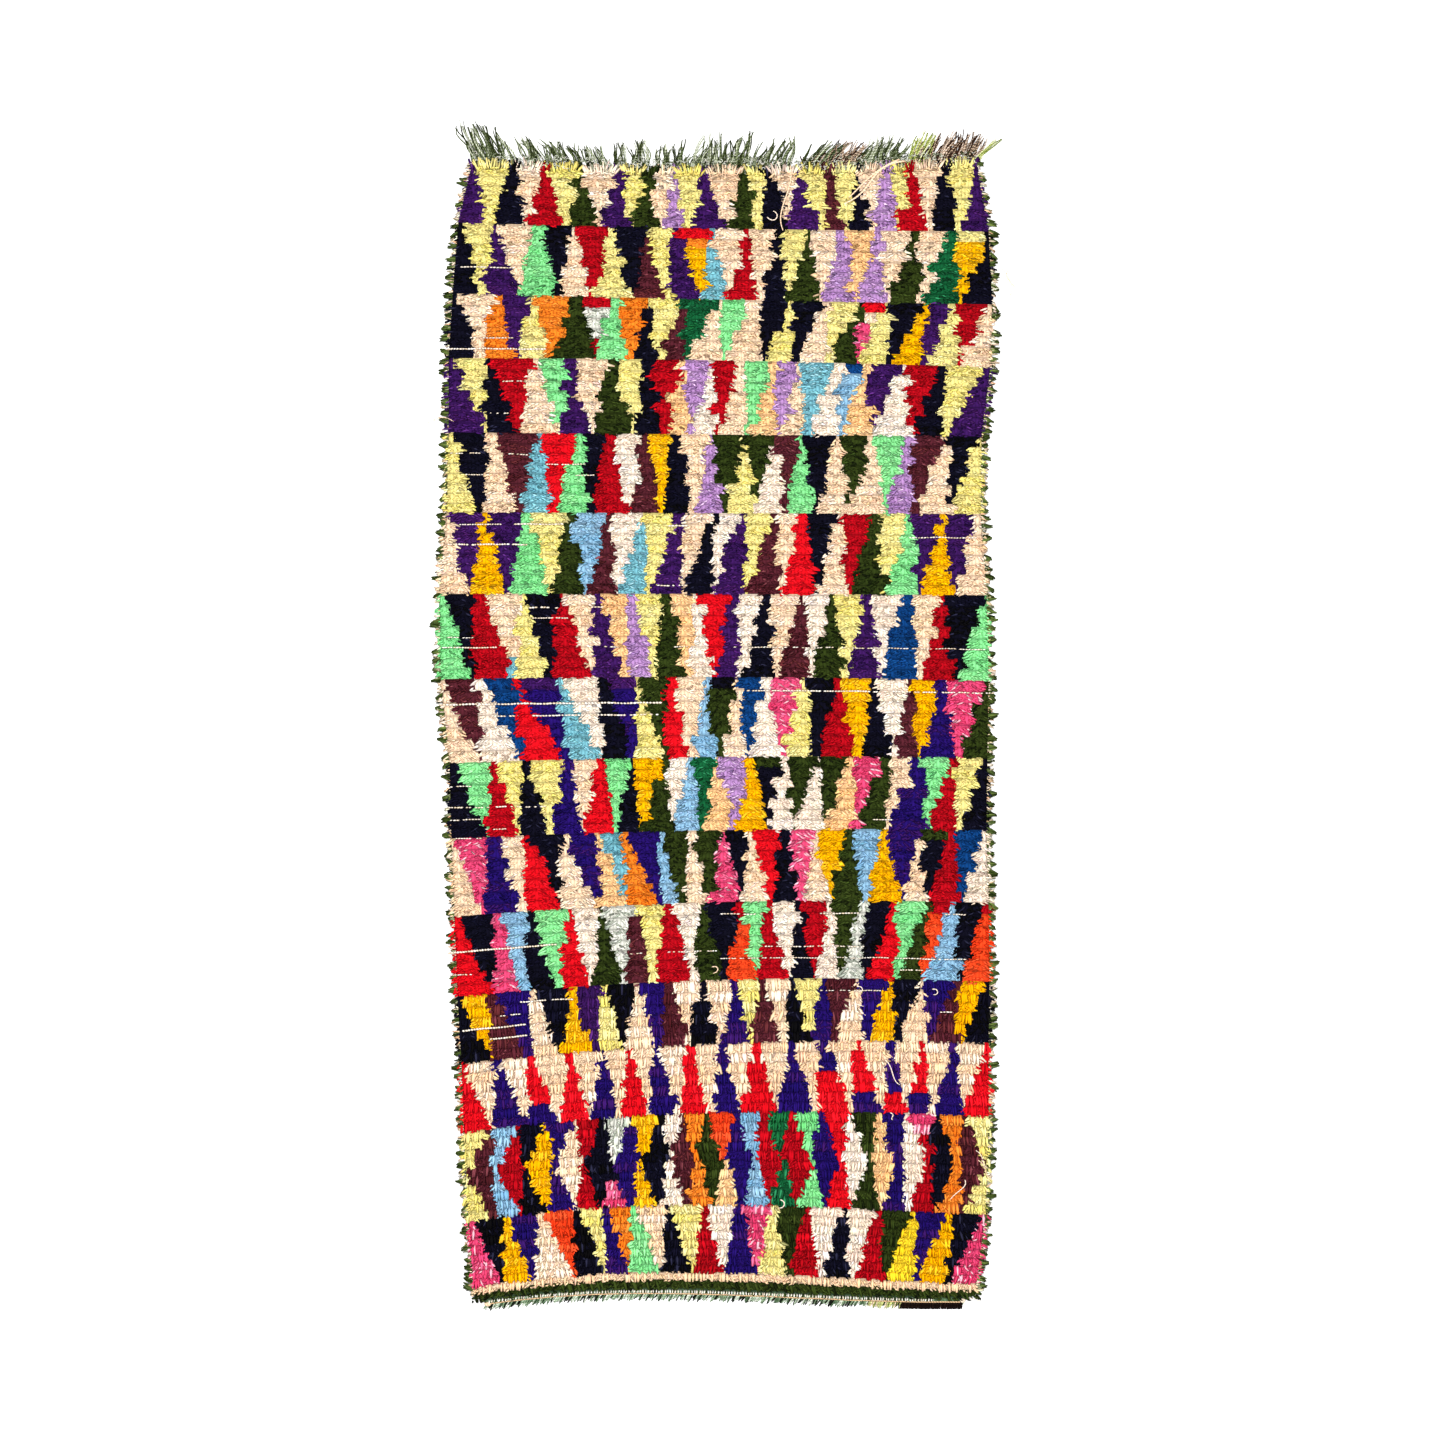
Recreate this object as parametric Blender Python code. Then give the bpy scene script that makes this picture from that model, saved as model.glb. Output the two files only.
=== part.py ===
"""A long shaggy rag rug laid flat, with warp fringe at its far end and a woven heading at its near end.

Frame: +X across the rug, +Y along it towards the fringe, +Z up. The origin is under the middle of the
whole rug, on the floor. Sizes are in millimetres and are turned into metres where a point is placed.

Three pieces are made:
rug           the knotted cloth, one slab: a ridge for each row of knots, a tuft at its rim for most
              rows, and at the near end the bare woven heading, a thin ledge of the same cloth
fringe        the warp ends at the far end, on a narrow strip beside the cloth's edge
heading_cord  the thin twined cord that lies along the heading
"""
from collections import namedtuple

import bmesh
import bpy
import numpy as np
from mathutils import Matrix, Vector

MM = 0.001
SEED = 15

# Heights of the cloth
CREST_HEIGHT = 17.0         # top of a row of knots
CREST_SPREAD = 1.1          # how far one crest differs from the next
VALLEY_HEIGHT = 12.5        # between two rows
VALLEY_SPREAD = 0.7
RIM_SHARE = 0.8             # the pile falls to this share of its height at the long edges
END_HEIGHT = 9.0            # pile height at its first and last line
HEADING_HEIGHT = 4.0        # the bare woven heading
HEADING_STEP = 3.0          # length of the slope from the pile down to the heading

# Layout of the ridges
COLUMNS = 12                # steps across the rug
RIM_SPREAD = 2.5            # how far the long edges wander from one line to the next

# Tufts at the long edges, of side yarn
TUFT_LENGTH = 19.0
TUFT_SPREAD = 4.5
TUFT_LEAN = 5.0
TUFT_TIP_WIDTH = 0.35       # share of the root's width
TUFT_TIP_HEIGHT = 0.3       # share of the root's height
TUFT_SKIP = 6               # every sixth row has no tuft of its own

# Fringe
GAP = 0.3                   # kept between two pieces
STRIP_WIDTH = 6.0
STRIP_HEIGHT = 3.6
STRAND_WIDTH = 4.0
STRAND_PITCH = 10.6
STRAND_SPREAD = 0.14        # share by which one strand is longer or shorter than the next
STRAND_CLEARANCE = 6.0      # least distance between two strands' middles at full reach
FULL_REACH = 100.0          # distance at which a group's lean is counted
STRAND_STEPS = (0.34, 0.68, 1.0)

# Heading cord
CORD_RADIUS = 1.6
CORD_INSET = 7.0            # from the foot of the pile's slope
CORD_POINTS = 26
CORD_END = 0.02             # share of the width left bare at each end

# One row for each line where the pattern changes: the rows of knots above it, the rug's left and right
# edge there, and how far along the rug the line lies at its left end, middle and right end
Line = namedtuple("Line", "rows left right left_y middle_y right_y")
BANDS = (
    Line(rows=0, left=-562, right=580, left_y=1253, middle_y=1237, right_y=1255),
    Line(rows=6, left=-592, right=608, left_y=1120, middle_y=1107, right_y=1100),
    Line(rows=7, left=-605, right=616, left_y=961, middle_y=947, right_y=936),
    Line(rows=6, left=-614, right=612, left_y=815, middle_y=810, right_y=794),
    Line(rows=7, left=-614, right=592, left_y=648, middle_y=643, right_y=639),
    Line(rows=8, left=-619, right=590, left_y=468, middle_y=466, right_y=464),
    Line(rows=8, left=-634, right=603, left_y=284, middle_y=284, right_y=281),
    Line(rows=8, left=-632, right=608, left_y=92, middle_y=97, right_y=88),
    Line(rows=7, left=-612, right=605, left_y=-97, middle_y=-83, right_y=-85),
    Line(rows=7, left=-608, right=603, left_y=-267, middle_y=-248, right_y=-248),
    Line(rows=7, left=-601, right=608, left_y=-443, middle_y=-410, right_y=-412),
    Line(rows=7, left=-594, right=610, left_y=-623, middle_y=-585, right_y=-590),
    Line(rows=6, left=-585, right=608, left_y=-774, middle_y=-727, right_y=-727),
    Line(rows=7, left=-580, right=608, left_y=-929, middle_y=-882, right_y=-893),
    Line(rows=9, left=-569, right=601, left_y=-1130, middle_y=-1091, right_y=-1114),
    Line(rows=6, left=-558, right=580, left_y=-1278, middle_y=-1244, right_y=-1269),
    Line(rows=1, left=-556, right=583, left_y=-1290, middle_y=-1262, right_y=-1284),
    Line(rows=1, left=-549, right=574, left_y=-1304, middle_y=-1282, right_y=-1298),
)
HEADING_START = Line(rows=0, left=-531, right=556, left_y=-1308, middle_y=-1286, right_y=-1302)
HEADING_END = Line(rows=0, left=-524, right=545, left_y=-1331, middle_y=-1307, right_y=-1323)

# The fringe's strands hang together in groups: where a group's roots start and end, how far its strands
# reach and how far they lean sideways on the way
Group = namedtuple("Group", "start end reach lean")
FRINGE = (
    Group(start=-553, end=-480, reach=74, lean=-34),
    Group(start=-466, end=-452, reach=62, lean=-40),
    Group(start=-434, end=-386, reach=58, lean=-32),
    Group(start=-378, end=-306, reach=50, lean=-24),
    Group(start=-294, end=-250, reach=46, lean=-18),
    Group(start=-240, end=-214, reach=52, lean=4),
    Group(start=-203, end=-164, reach=54, lean=4),
    Group(start=-148, end=-117, reach=54, lean=12),
    Group(start=-104, end=-84, reach=66, lean=4),
    Group(start=-66, end=-44, reach=66, lean=26),
    Group(start=-30, end=6, reach=74, lean=14),
    Group(start=14, end=60, reach=76, lean=20),
    Group(start=70, end=118, reach=56, lean=26),
    Group(start=126, end=156, reach=60, lean=18),
    Group(start=174, end=248, reach=50, lean=44),
    Group(start=258, end=320, reach=52, lean=34),
    Group(start=328, end=396, reach=56, lean=26),
    Group(start=418, end=452, reach=68, lean=28),
    Group(start=460, end=574, reach=62, lean=36),
)

# Look of each piece: colour, roughness
FINISHES = {
    "rug": ((0.62, 0.16, 0.14, 1.0), 0.95),
    "fringe": ((0.16, 0.24, 0.15, 1.0), 0.9),
    "heading_cord": ((0.72, 0.55, 0.33, 1.0), 0.85),
}


def clear_scene():
    """Remove every object, so that only the rug is left."""
    for obj in list(bpy.data.objects):
        bpy.data.objects.remove(obj, do_unlink=True)


def blend(first, second, share):
    """The line that lies at a share of the way from the first line to the second."""
    return Line(*(a + (b - a) * share for a, b in zip(first, second)))


def along(line, share):
    """Y of a line at a share of its width: the parabola through its left end, middle and right end."""
    left_part = line.left_y * (1 - share) * (1 - 2 * share)
    middle_part = line.middle_y * 4 * share * (1 - share)
    right_part = line.right_y * share * (2 * share - 1)
    return left_part + middle_part + right_part


def ridge_lines():
    """Each line across the pile from the far end to the near one, with True where it is a crest.

    A row of knots is a valley line and then a crest line, and the pile ends with a valley line.
    """
    lines = []
    for above, below in zip(BANDS, BANDS[1:]):
        for row in range(below.rows):
            lines.append((blend(above, below, row / below.rows), False))
            lines.append((blend(above, below, (row + 0.5) / below.rows), True))
    lines.append((BANDS[-1], False))
    return lines


def pile_heights(lines, rng):
    """Height at each line and column: crests and valleys with a little spread, lower at all four edges."""
    crests = np.array([crest for _, crest in lines])[:, None]
    spread = rng.uniform(-1, 1, (len(lines), COLUMNS + 1))
    heights = np.where(crests, CREST_HEIGHT + CREST_SPREAD * spread, VALLEY_HEIGHT + VALLEY_SPREAD * spread)
    heights[:, [0, -1]] *= RIM_SHARE
    heights[[0, -1], :] = END_HEIGHT
    return heights


def place_line(bm, line, heights):
    """Add a line's points, one for each column, at the given heights."""
    points = []
    for column, height in enumerate(heights):
        share = column / COLUMNS
        x = line.left + (line.right - line.left) * share
        points.append(bm.verts.new(Vector((x, along(line, share), height)) * MM))
    return points


def cloth_top(bm, rng):
    """Add the whole upper side: the ridges of the pile and then the heading's ledge."""
    lines = ridge_lines()
    heights = pile_heights(lines, rng)
    rows = []
    for (line, _), line_heights in zip(lines, heights):
        wander = rng.uniform(-RIM_SPREAD, RIM_SPREAD, 2)
        line = line._replace(left=line.left + wander[0], right=line.right + wander[1])
        rows.append(place_line(bm, line, line_heights))
    for line in (HEADING_START, HEADING_END):
        rows.append(place_line(bm, line, [HEADING_HEIGHT] * (COLUMNS + 1)))
    for upper, lower in zip(rows, rows[1:]):
        for column in range(COLUMNS):
            corners = (upper[column], lower[column], lower[column + 1], upper[column + 1])
            bm.faces.new(corners)
    return rows


def under(bm, point):
    """Add the point on the floor straight below a point of the rim."""
    return bm.verts.new((point.co.x, point.co.y, 0.0))


def close_below(bm, rows):
    """Add the side walls and the flat underside, and return the walls of the left and right edge."""
    left = [under(bm, row[0]) for row in rows]
    right = [under(bm, row[-1]) for row in rows]
    far = [left[0]] + [under(bm, point) for point in rows[0][1:-1]] + [right[0]]
    near = [left[-1]] + [under(bm, point) for point in rows[-1][1:-1]] + [right[-1]]
    for column in range(COLUMNS):
        bm.faces.new((rows[0][column], rows[0][column + 1], far[column + 1], far[column]))
        bm.faces.new((rows[-1][column + 1], rows[-1][column], near[column], near[column + 1]))
    walls = []
    for index in range(len(rows) - 1):
        top, low = rows[index], rows[index + 1]
        left_wall = bm.faces.new((top[0], left[index], left[index + 1], low[0]))
        right_wall = bm.faces.new((top[-1], low[-1], right[index + 1], right[index]))
        walls.append((left_wall, right_wall))
    for index in range(1, len(rows) - 2):
        bm.faces.new((left[index], right[index], right[index + 1], left[index + 1]))
    bm.faces.new(far + [right[1], left[1]])
    bm.faces.new([left[-2], right[-2]] + near[::-1])
    return walls


def draw_out(bm, wall, shift, width, height):
    """Extrude a wall face by a shift and shrink it about the foot of its middle, and return its end."""
    end = bmesh.ops.extrude_discrete_faces(bm, faces=[wall])["faces"][0]
    foot = end.calc_center_median()
    foot.z = 0.0
    for vert in end.verts:
        offset = vert.co - foot
        shrunk = Vector((offset.x * width, offset.y * width, offset.z * height))
        vert.co = foot + shift * MM + shrunk
    return end


def add_tufts(bm, walls, rng):
    """Draw a tuft out of both long edges at most rows of knots, resting on the floor."""
    pile_walls = walls[:2 * sum(line.rows for line in BANDS)]
    for row, pair in enumerate(pile_walls[1::2]):
        for side, wall in zip((-1, 1), pair):
            length = TUFT_LENGTH + rng.uniform(-TUFT_SPREAD, TUFT_SPREAD)
            lean = rng.uniform(-TUFT_LEAN, TUFT_LEAN)
            if (row + side) % TUFT_SKIP:
                draw_out(bm, wall, Vector((side * length, lean, 0)), TUFT_TIP_WIDTH, TUFT_TIP_HEIGHT)


def finish_object(name, data):
    """Make the named object from its mesh or curve and give it its own material."""
    colour, roughness = FINISHES[name]
    material = bpy.data.materials.new(name)
    material.use_nodes = True
    shader = material.node_tree.nodes["Principled BSDF"]
    shader.inputs["Base Color"].default_value = colour
    shader.inputs["Roughness"].default_value = roughness
    shader.inputs["Metallic"].default_value = 0.0
    data.materials.append(material)
    obj = bpy.data.objects.new(name, data)
    bpy.context.scene.collection.objects.link(obj)
    return obj


def mesh_object(name, bm):
    """Turn the built shape into a named object with its faces pointing out."""
    bmesh.ops.recalc_face_normals(bm, faces=bm.faces)
    mesh = bpy.data.meshes.new(name)
    bm.to_mesh(mesh)
    bm.free()
    return finish_object(name, mesh)


def make_rug():
    """The knotted cloth with its rim tufts and heading, one closed slab on the floor."""
    rng = np.random.default_rng(SEED)
    bm = bmesh.new()
    walls = close_below(bm, cloth_top(bm, rng))
    add_tufts(bm, walls, rng)
    return mesh_object("rug", bm)


def far_edge():
    """X and Y of the cloth's far edge at its columns, as the straight stretches that the rug has there."""
    shares = np.linspace(0, 1, COLUMNS + 1)
    top = BANDS[0]
    return top.left + (top.right - top.left) * shares, np.array([along(top, share) for share in shares])


def strand_roots(rng):
    """Root, reach and sideways lean of each strand, with no two strands crossing at any distance."""
    strands = []
    last_end = -np.inf
    for group in FRINGE:
        count = 1 + int((group.end - group.start) / STRAND_PITCH)
        for root in np.linspace(group.start, group.end, count):
            reach = group.reach * (1 + rng.uniform(-STRAND_SPREAD, STRAND_SPREAD))
            last_end = max(root + group.lean, last_end + STRAND_CLEARANCE)
            strands.append((root, reach, last_end - root))
    return strands


def make_strip(bm, strands):
    """The narrow strip beside the far edge, and for each strand the wall face that it grows from."""
    edge_x, edge_y = far_edge()
    stops = sorted(root + side * STRAND_WIDTH / 2 for root, _, _ in strands for side in (-1, 1))
    sections = []
    for x in stops:
        y = np.interp(x, edge_x, edge_y) + GAP
        corners = ((y, 0), (y + STRIP_WIDTH, 0), (y + STRIP_WIDTH, STRIP_HEIGHT), (y, STRIP_HEIGHT))
        sections.append([bm.verts.new(Vector((x, along_y, z)) * MM) for along_y, z in corners])
    outer = []
    for here, there in zip(sections, sections[1:]):
        for side in range(4):
            turn = (side + 1) % 4
            face = bm.faces.new((here[side], here[turn], there[turn], there[side]))
            if side == 1:
                outer.append(face)
    bm.faces.new(sections[0])
    bm.faces.new(sections[-1][::-1])
    return outer[::2]


def grow_strand(bm, wall, reach, lean):
    """Draw a strand out of the strip in a few steps, bending sideways more and more, flat on the floor."""
    done_y = done_x = 0.0
    for step in STRAND_STEPS:
        y = reach * step
        x = lean * (y / FULL_REACH) ** 1.3
        wall = draw_out(bm, wall, Vector((x - done_x, y - done_y, 0)), 0.82, 0.85)
        done_x, done_y = x, y


def make_fringe():
    """The warp ends: strands in groups of unlike length and lean, all on one strip."""
    rng = np.random.default_rng(SEED + 1)
    bm = bmesh.new()
    strands = strand_roots(rng)
    for wall, (_, reach, lean) in zip(make_strip(bm, strands), strands):
        grow_strand(bm, wall, reach, lean)
    return mesh_object("fringe", bm)


def cord_point(share):
    """A point of the cord's middle line: a set distance in from the foot of the pile's slope."""
    top = HEADING_START
    x = top.left + (top.right - top.left) * share
    columns = np.linspace(0, 1, COLUMNS + 1)
    edge_y = np.interp(share, columns, [along(top, column) for column in columns])
    return Vector((x, edge_y - CORD_INSET, HEADING_HEIGHT + GAP + CORD_RADIUS)) * MM


def make_heading_cord():
    """The thin cord along the heading, a curve with a round section and closed ends."""
    curve = bpy.data.curves.new("heading_cord", "CURVE")
    curve.dimensions = "3D"
    curve.bevel_depth = CORD_RADIUS * MM
    curve.bevel_resolution = 1
    curve.use_fill_caps = True
    spline = curve.splines.new("POLY")
    spline.points.add(CORD_POINTS - 1)
    for point, share in zip(spline.points, np.linspace(CORD_END, 1 - CORD_END, CORD_POINTS)):
        point.co = (*cord_point(share), 1.0)
    return finish_object("heading_cord", curve)


def centre_on_floor(pieces, measured):
    """Move every piece by the same step, so that the origin is under the middle of the measured ones."""
    points = np.array([vert.co for piece in measured for vert in piece.data.vertices])
    middle = (points.min(axis=0) + points.max(axis=0)) / 2
    for piece in pieces:
        piece.data.transform(Matrix.Translation((-middle[0], -middle[1], 0.0)))


clear_scene()
rug = make_rug()
fringe = make_fringe()
heading_cord = make_heading_cord()
centre_on_floor((rug, fringe, heading_cord), (rug, fringe))
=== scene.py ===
"""Looks of a long shaggy rag rug: knotted pile in bands of coloured wedges, side yarn, fringe and heading.

The rug is drawn in millimetres in a frame of its own, with the photo's middle as origin, +X to the right
and +Y towards the fringe. to_frame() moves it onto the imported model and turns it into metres.
"""
import math
from collections import namedtuple

import bpy
import numpy as np
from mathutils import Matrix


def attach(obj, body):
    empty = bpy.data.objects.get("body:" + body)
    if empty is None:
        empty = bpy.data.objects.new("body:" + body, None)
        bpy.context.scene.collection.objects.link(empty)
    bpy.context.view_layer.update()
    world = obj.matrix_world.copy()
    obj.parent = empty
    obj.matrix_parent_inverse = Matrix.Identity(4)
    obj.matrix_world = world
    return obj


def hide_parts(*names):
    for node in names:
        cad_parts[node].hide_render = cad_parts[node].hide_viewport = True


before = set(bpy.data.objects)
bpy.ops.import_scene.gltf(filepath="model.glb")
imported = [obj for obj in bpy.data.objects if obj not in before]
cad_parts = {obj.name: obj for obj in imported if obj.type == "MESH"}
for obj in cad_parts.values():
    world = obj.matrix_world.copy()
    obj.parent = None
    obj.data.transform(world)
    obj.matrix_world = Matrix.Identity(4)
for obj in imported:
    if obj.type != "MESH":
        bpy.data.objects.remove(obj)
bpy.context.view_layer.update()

MM = 0.001
CM_IN_METRE = 100
CELL_MARGIN = 0.08                  # free share at each side of a tube's cell in the bake map
SEED = 11
FRINGE_SEED, TANGLE_SEED, SIDE_SEED, HEADING_SEED = range(SEED + 50, SEED + 54)
CORD_SEED, WEFT_SEED, LOOSE_SEED = range(SEED + 54, SEED + 57)
STRAND_SIDES = 3                    # of flat yarn ends and small loops
WARP_SIDES = 4                      # of fringe, heading and wefts
CORD_SIDES = 5                      # of the cord's plies and loose yarns
DRAWN_TO_FRAME = (9.56, -2.89)      # millimetres, from the drawing's origin to the rug's own

# Cloth
FOUNDATION_HEIGHT = 2.5
FOUNDATION_COLUMNS = 190
GROOVE = 0.1                        # in rows: how far the groove between two rows, where the foundation's painted shade is darkest, lies past their line
KNOT_WIDTH = 8.0
PILE_BASE = 8.0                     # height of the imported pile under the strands
PILE_TOP = 16.5

# Strands of the pile. Lengths along the rug are in rows, and minus is towards the near end.
STRAND_PITCH = 2.7
STRAND_JITTER = 0.35                # in pitches: how far a strand stands from its place
STRANDS_IN_KNOT = 3
STRAND_STEPS = (0.0, 0.45, 1.0)     # where along a strand its three rings are
STRAND_HALF = (2.9, 1.7)            # half its width and half its thickness, both times its body at a ring
STRAND_BEND = 1.2                   # its sideways lean grows with this power of the way along it
FULLNESS = (0.85, 1.15)             # strands differ in size between these shares of it
ROW_WAVE = 1.8                      # how far a row of knots strays from its line, and over what length
ROW_WAVE_LENGTH = 110
PLUMP_WAVE = 0.05                   # how much the height of a row varies, and over what length
PLUMP_WAVE_LENGTH = 90
PLUMP_SPREAD = 0.02                 # the same from knot to knot

# Combed strands lie in line with the rug, over the next row.
STRAND_START = 0.12                 # each begins under the row before its own
STRAND_REACH = 1.25                 # and lies over the start of the next
REACH_SPREAD = (0.05, 0.03)         # how much that differs from knot to knot and from strand to strand
COMBED_SWAY = (2.6, 1.0)            # sideways lean of a wedge's strands in a row, and of each one
COMBED_BULGE = 2.5                  # how far they lean over a border
COMBED_RISE = (2.5, 13.8, 12.6)     # height of a strand's middle at each ring
COMBED_BODY = (0.9, 1.45, 1.2)
COMBED_STRAY = 0.3                  # how far a strand lies off its row
COMBED_PLUMP = 0.01                 # how much strands differ in height
COMBED_GLOW = 0.18                  # how much brighter a wholly combed row is than a laid one
TIP_PINCH = 0.25                    # how far the tips of a knot's outer strands draw in

# Laid strands lie aslant in their own row.
LAID_SPLAY = (3.5, 7.0)             # the two splays for which the next three pairs are given
LAID_SHARE = (0.75, 1.0)            # share of strands that are laid and not combed
LOOSENESS = (0.4, 1.0)              # how far laid strands lean aside, in parts of their length
GAP_SHADE = (0.8, 0.85)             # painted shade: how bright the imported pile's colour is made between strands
STEEP_SPLAY = (3.5, 7.0, 8.5)       # laid strands are steeper where the splay is small
STEEPNESS = (1.2, 0.85, 0.5)
LAID_DEPTH = 0.96                   # the strands of a knot begin one below another over this depth
LAID_LENGTH = (9, 17)
LAID_FALL = (0.2, 1.0)              # part of its length by which a strand falls, before its steepness
LAID_LOWEST = -1.1                  # no laid strand ends nearer to the near end than this
LAID_RISE = (8.5, 13.8, 11.8)
LAID_BODY = (0.9, 1.0, 0.4)
LAID_FULLNESS = 0.85
LAID_STRAY = 1.8
LAID_PLUMP = 0.03
OUTWARD_CHANCE = (0.5, 0.4)         # chance to lie outwards in the middle of a wedge, and more at its edge
SHADE = 0.5                         # painted shade: how bright a strand is painted that lies deep, in shade
GLOW_SPREAD = (0.02, 0.11, 0.05)    # how strands differ in brightness: all, and more if loose or shaggy
KNOT_GLOW_SPREAD = 0.04             # the same for whole knots

# Borders between two colours, where strands draw together and one side's cross over
BRUSH = 13.0                        # how far from a border this is felt
BORDER_LAID = 0.65                  # share of strands that are laid right at a border
BORDER_RISE = 1.5                   # how much higher the crossing strands lie, and the others lower
LEAF_REACH = (3.0, 13.0)            # how far a leaf of laid strands sticks out over a border
LEAF_TIP = (-0.95, -0.5)            # where the leaf's tip lies in the row
LEAF_TOP = -0.1                     # and where the leaf begins and ends
LEAF_FOOT = -1.15
LEAF_THINNEST = 0.05                # in parts of its reach
LEAF_DRAW = 0.35                    # how far the leaf's strands are drawn to its tip's height
LEAF_BODY = (0.9, 1.0, 0.8)
LEAF_FULLER = 0.3                   # how much thicker they are right at the border
HELD_BACK = 1.0                     # how far from the border the other side's strands stop

# Shaggy strands: each pair gives a value where this begins and where it is full
SHAGGY_SPLAY = (7.5, 9.0)
LEAF_LONGER = (1.0, 1.5)            # how much farther leaves stick out
LEAF_EDGE = (2.0, 10.0)             # how unevenly a leaf's strands end
SHADED_SHARE = (0.1, 0.15)          # share of laid strands painted darker as lying deep, in shade, times their looseness

# Strands that hang back over the far edge
BACK_START = -0.5
BACK_END = (0.25, 0.85)
BACK_SHORTER = 0.3                  # how much shorter they are at a wedge's limits
BACK_FAN = 11                       # how far they fan out there
BACK_SWAY = 3.5

# Camera
PHOTO_WIDTH = 3.24                  # metres of floor across the photo
LENS = 85.0
SENSOR = 36.0

# Studio
FLOOR_HALF = 12.0                   # metres
FLOOR_TONE = 0.93
SURROUND = 0.7

# One row for each strip of the pattern: its rows of knots, the rug's left and right edge and the line's
# left, middle and right Y at its lower end, how far the yarn ends splay sideways, how raggedly the
# colours meet, and the chart of its wedges from left to right.
# In a chart a small letter is a wedge that widens towards the near end and a capital one that narrows;
# + and - after it make it wider or slimmer than the rest.
Strip = namedtuple("Strip", "rows left right left_y middle_y right_y splay jag chart")
FAR_EDGE = Strip(0, -562, 580, 1253, 1237, 1255, 9, 5, "")
PATTERN = (
    Strip(6, -592, 608, 1120, 1107, 1100, 9.0, 5.0,
          "p Y+ n+ C r+ Y+ o C+ p Y o C- l- Y p+ C+ o Y- n C p Y b- Y n- C l- Y- r C n Y p"),
    Strip(7, -605, 616, 961, 947, 936, 9.0, 5.0,
          "n Y p C+ m+ N c R y+ N b Y- p G t- C r C n- Y- o C l F l C o C e+ G n"),
    Strip(6, -614, 612, 815, 810, 794, 9.0, 5.0,
          "n C+ q P y Q+ o+ R m Q n- Y b- E c M c+ N y- N c Y o- H- y N g P- y R c"),
    Strip(7, -614, 592, 648, 643, 639, 9.0, 5.0,
          "p+ Y n R+ c+ M p C o+ Y n R f- L- w- R- c M- f L- c- T w I- f P w+ R n Y+ p+"),
    Strip(8, -619, 590, 468, 466, 464, 8.0, 4.5,
          "y N+ c+ B+ t S+ m N- r+ W b G- n C l- O y O- w- B- m N c O c M l B c N y"),
    Strip(8, -634, 603, 284, 284, 281, 8.0, 4.5,
          "c P g P+ m+ Y+ o I+ b- W t Y p C n- W- p Y b C- s N c R o Y m P g P c"),
    Strip(8, -632, 608, 92, 97, 88, 7.5, 4.5,
          "m N r+ C+ y N r+ C p F l- Y o F- w- S p- W n C b W- o Y p W a+ C r N+ m"),
    Strip(7, -612, 605, -97, -83, -85, 7.0, 4.5,
          "c B w+ A s+ V+ t W+ n V y- O s- C i- O c- A- w H y N r+ G n W b- G v H+ o"),
    Strip(7, -608, 603, -267, -248, -248, 7.0, 4.0,
          "n+ M+ r Y n Y+ v C s M n- G o W- i E- f L g N w- O w O f H o C v+ M r Y n"),
    Strip(7, -601, 608, -443, -410, -412, 7.0, 4.0,
          "c H+ v+ C s+ N c+ V f T- q V i- O c- O h N- c S n H c- G o+ I g+ V c- N r A w"),
    Strip(7, -594, 610, -623, -585, -590, 7.0, 3.5,
          "s+ N+ h I n M+ s W o X b Y r+ W o N+ d M- r W n- R w- O x- N s M o- D- i+ N d"),
    Strip(6, -585, 608, -774, -727, -727, 4.4, 3.0,
          "n G b+ V+ c N+ g P y N c V b C n C v Y- b C n- Y v- B c V g N c V b G n"),
    Strip(7, -580, 608, -929, -882, -893, 4.1, 3.0,
          "s C v+ C s C+ s C v C- s C- v C s C v C s+ C v+ C v+ C s C v- C s- C v C s"),
    Strip(5, -575, 605, -1030, -989, -1003, 4.1, 3.0,
          "Y b I r N g V c R n X v G n W- b- Q- o D v I r E r M v S w O f V w H n Q b Y"),
    Strip(5, -569, 601, -1130, -1091, -1114, 4.1, 2.5,
          "y B i R n G v C r N h V g N w B q O f V i R e R m V s W o F v W r N q B y"),
    Strip(8, -558, 580, -1278, -1244, -1269, 4.1, 2.0,
          "h N g V c+ D n Y- v- Q- m C n Y r W v H y O r W n W r O k V g N h"),
    Strip(1, -556, 583, -1290, -1262, -1284, 4.6, 0.0, "c"),
    Strip(1, -549, 574, -1304, -1282, -1298, 5.6, 0.0, "o"),
)
HEADING_START = Strip(0, -531, 556, -1308, -1286, -1302, 0, 0, "")
HEADING_END = Strip(0, -524, 545, -1331, -1307, -1323, 0, 0, "")

# Where a wedge changes its yarn for some rows: strip, wedge and rows, all counted from 1, and the yarn
Patch = namedtuple("Patch", "strip wedge first last yarn")
PATCHES = (
    Patch(2, 14, 1, 1, "s"), Patch(2, 14, 2, 2, "q"), Patch(2, 30, 1, 1, "y"),
    Patch(3, 8, 2, 4, "x"), Patch(3, 24, 1, 1, "s"), Patch(3, 24, 2, 2, "c"),
    Patch(4, 24, 1, 1, "a"), Patch(7, 4, 7, 8, "t"), Patch(8, 6, 1, 1, "p"),
    Patch(8, 10, 1, 1, "p"), Patch(8, 16, 1, 1, "n"), Patch(9, 20, 1, 1, "o"),
    Patch(10, 30, 1, 1, "o"), Patch(11, 17, 1, 2, "r"), Patch(11, 30, 1, 1, "r"),
    Patch(11, 33, 1, 1, "r"), Patch(13, 5, 6, 7, "v"), Patch(13, 23, 4, 7, "s"),
    Patch(13, 25, 6, 7, "v"), Patch(13, 27, 6, 7, "s"), Patch(13, 29, 6, 7, "v"),
    Patch(14, 33, 3, 5, "r"), Patch(15, 11, 1, 2, "n"),
)
SKEW = 170                          # how far the heading's arch leans to the left, see cloth_point()
SKEW_FROM = 12                      # the strip at whose end the lean begins

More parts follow.
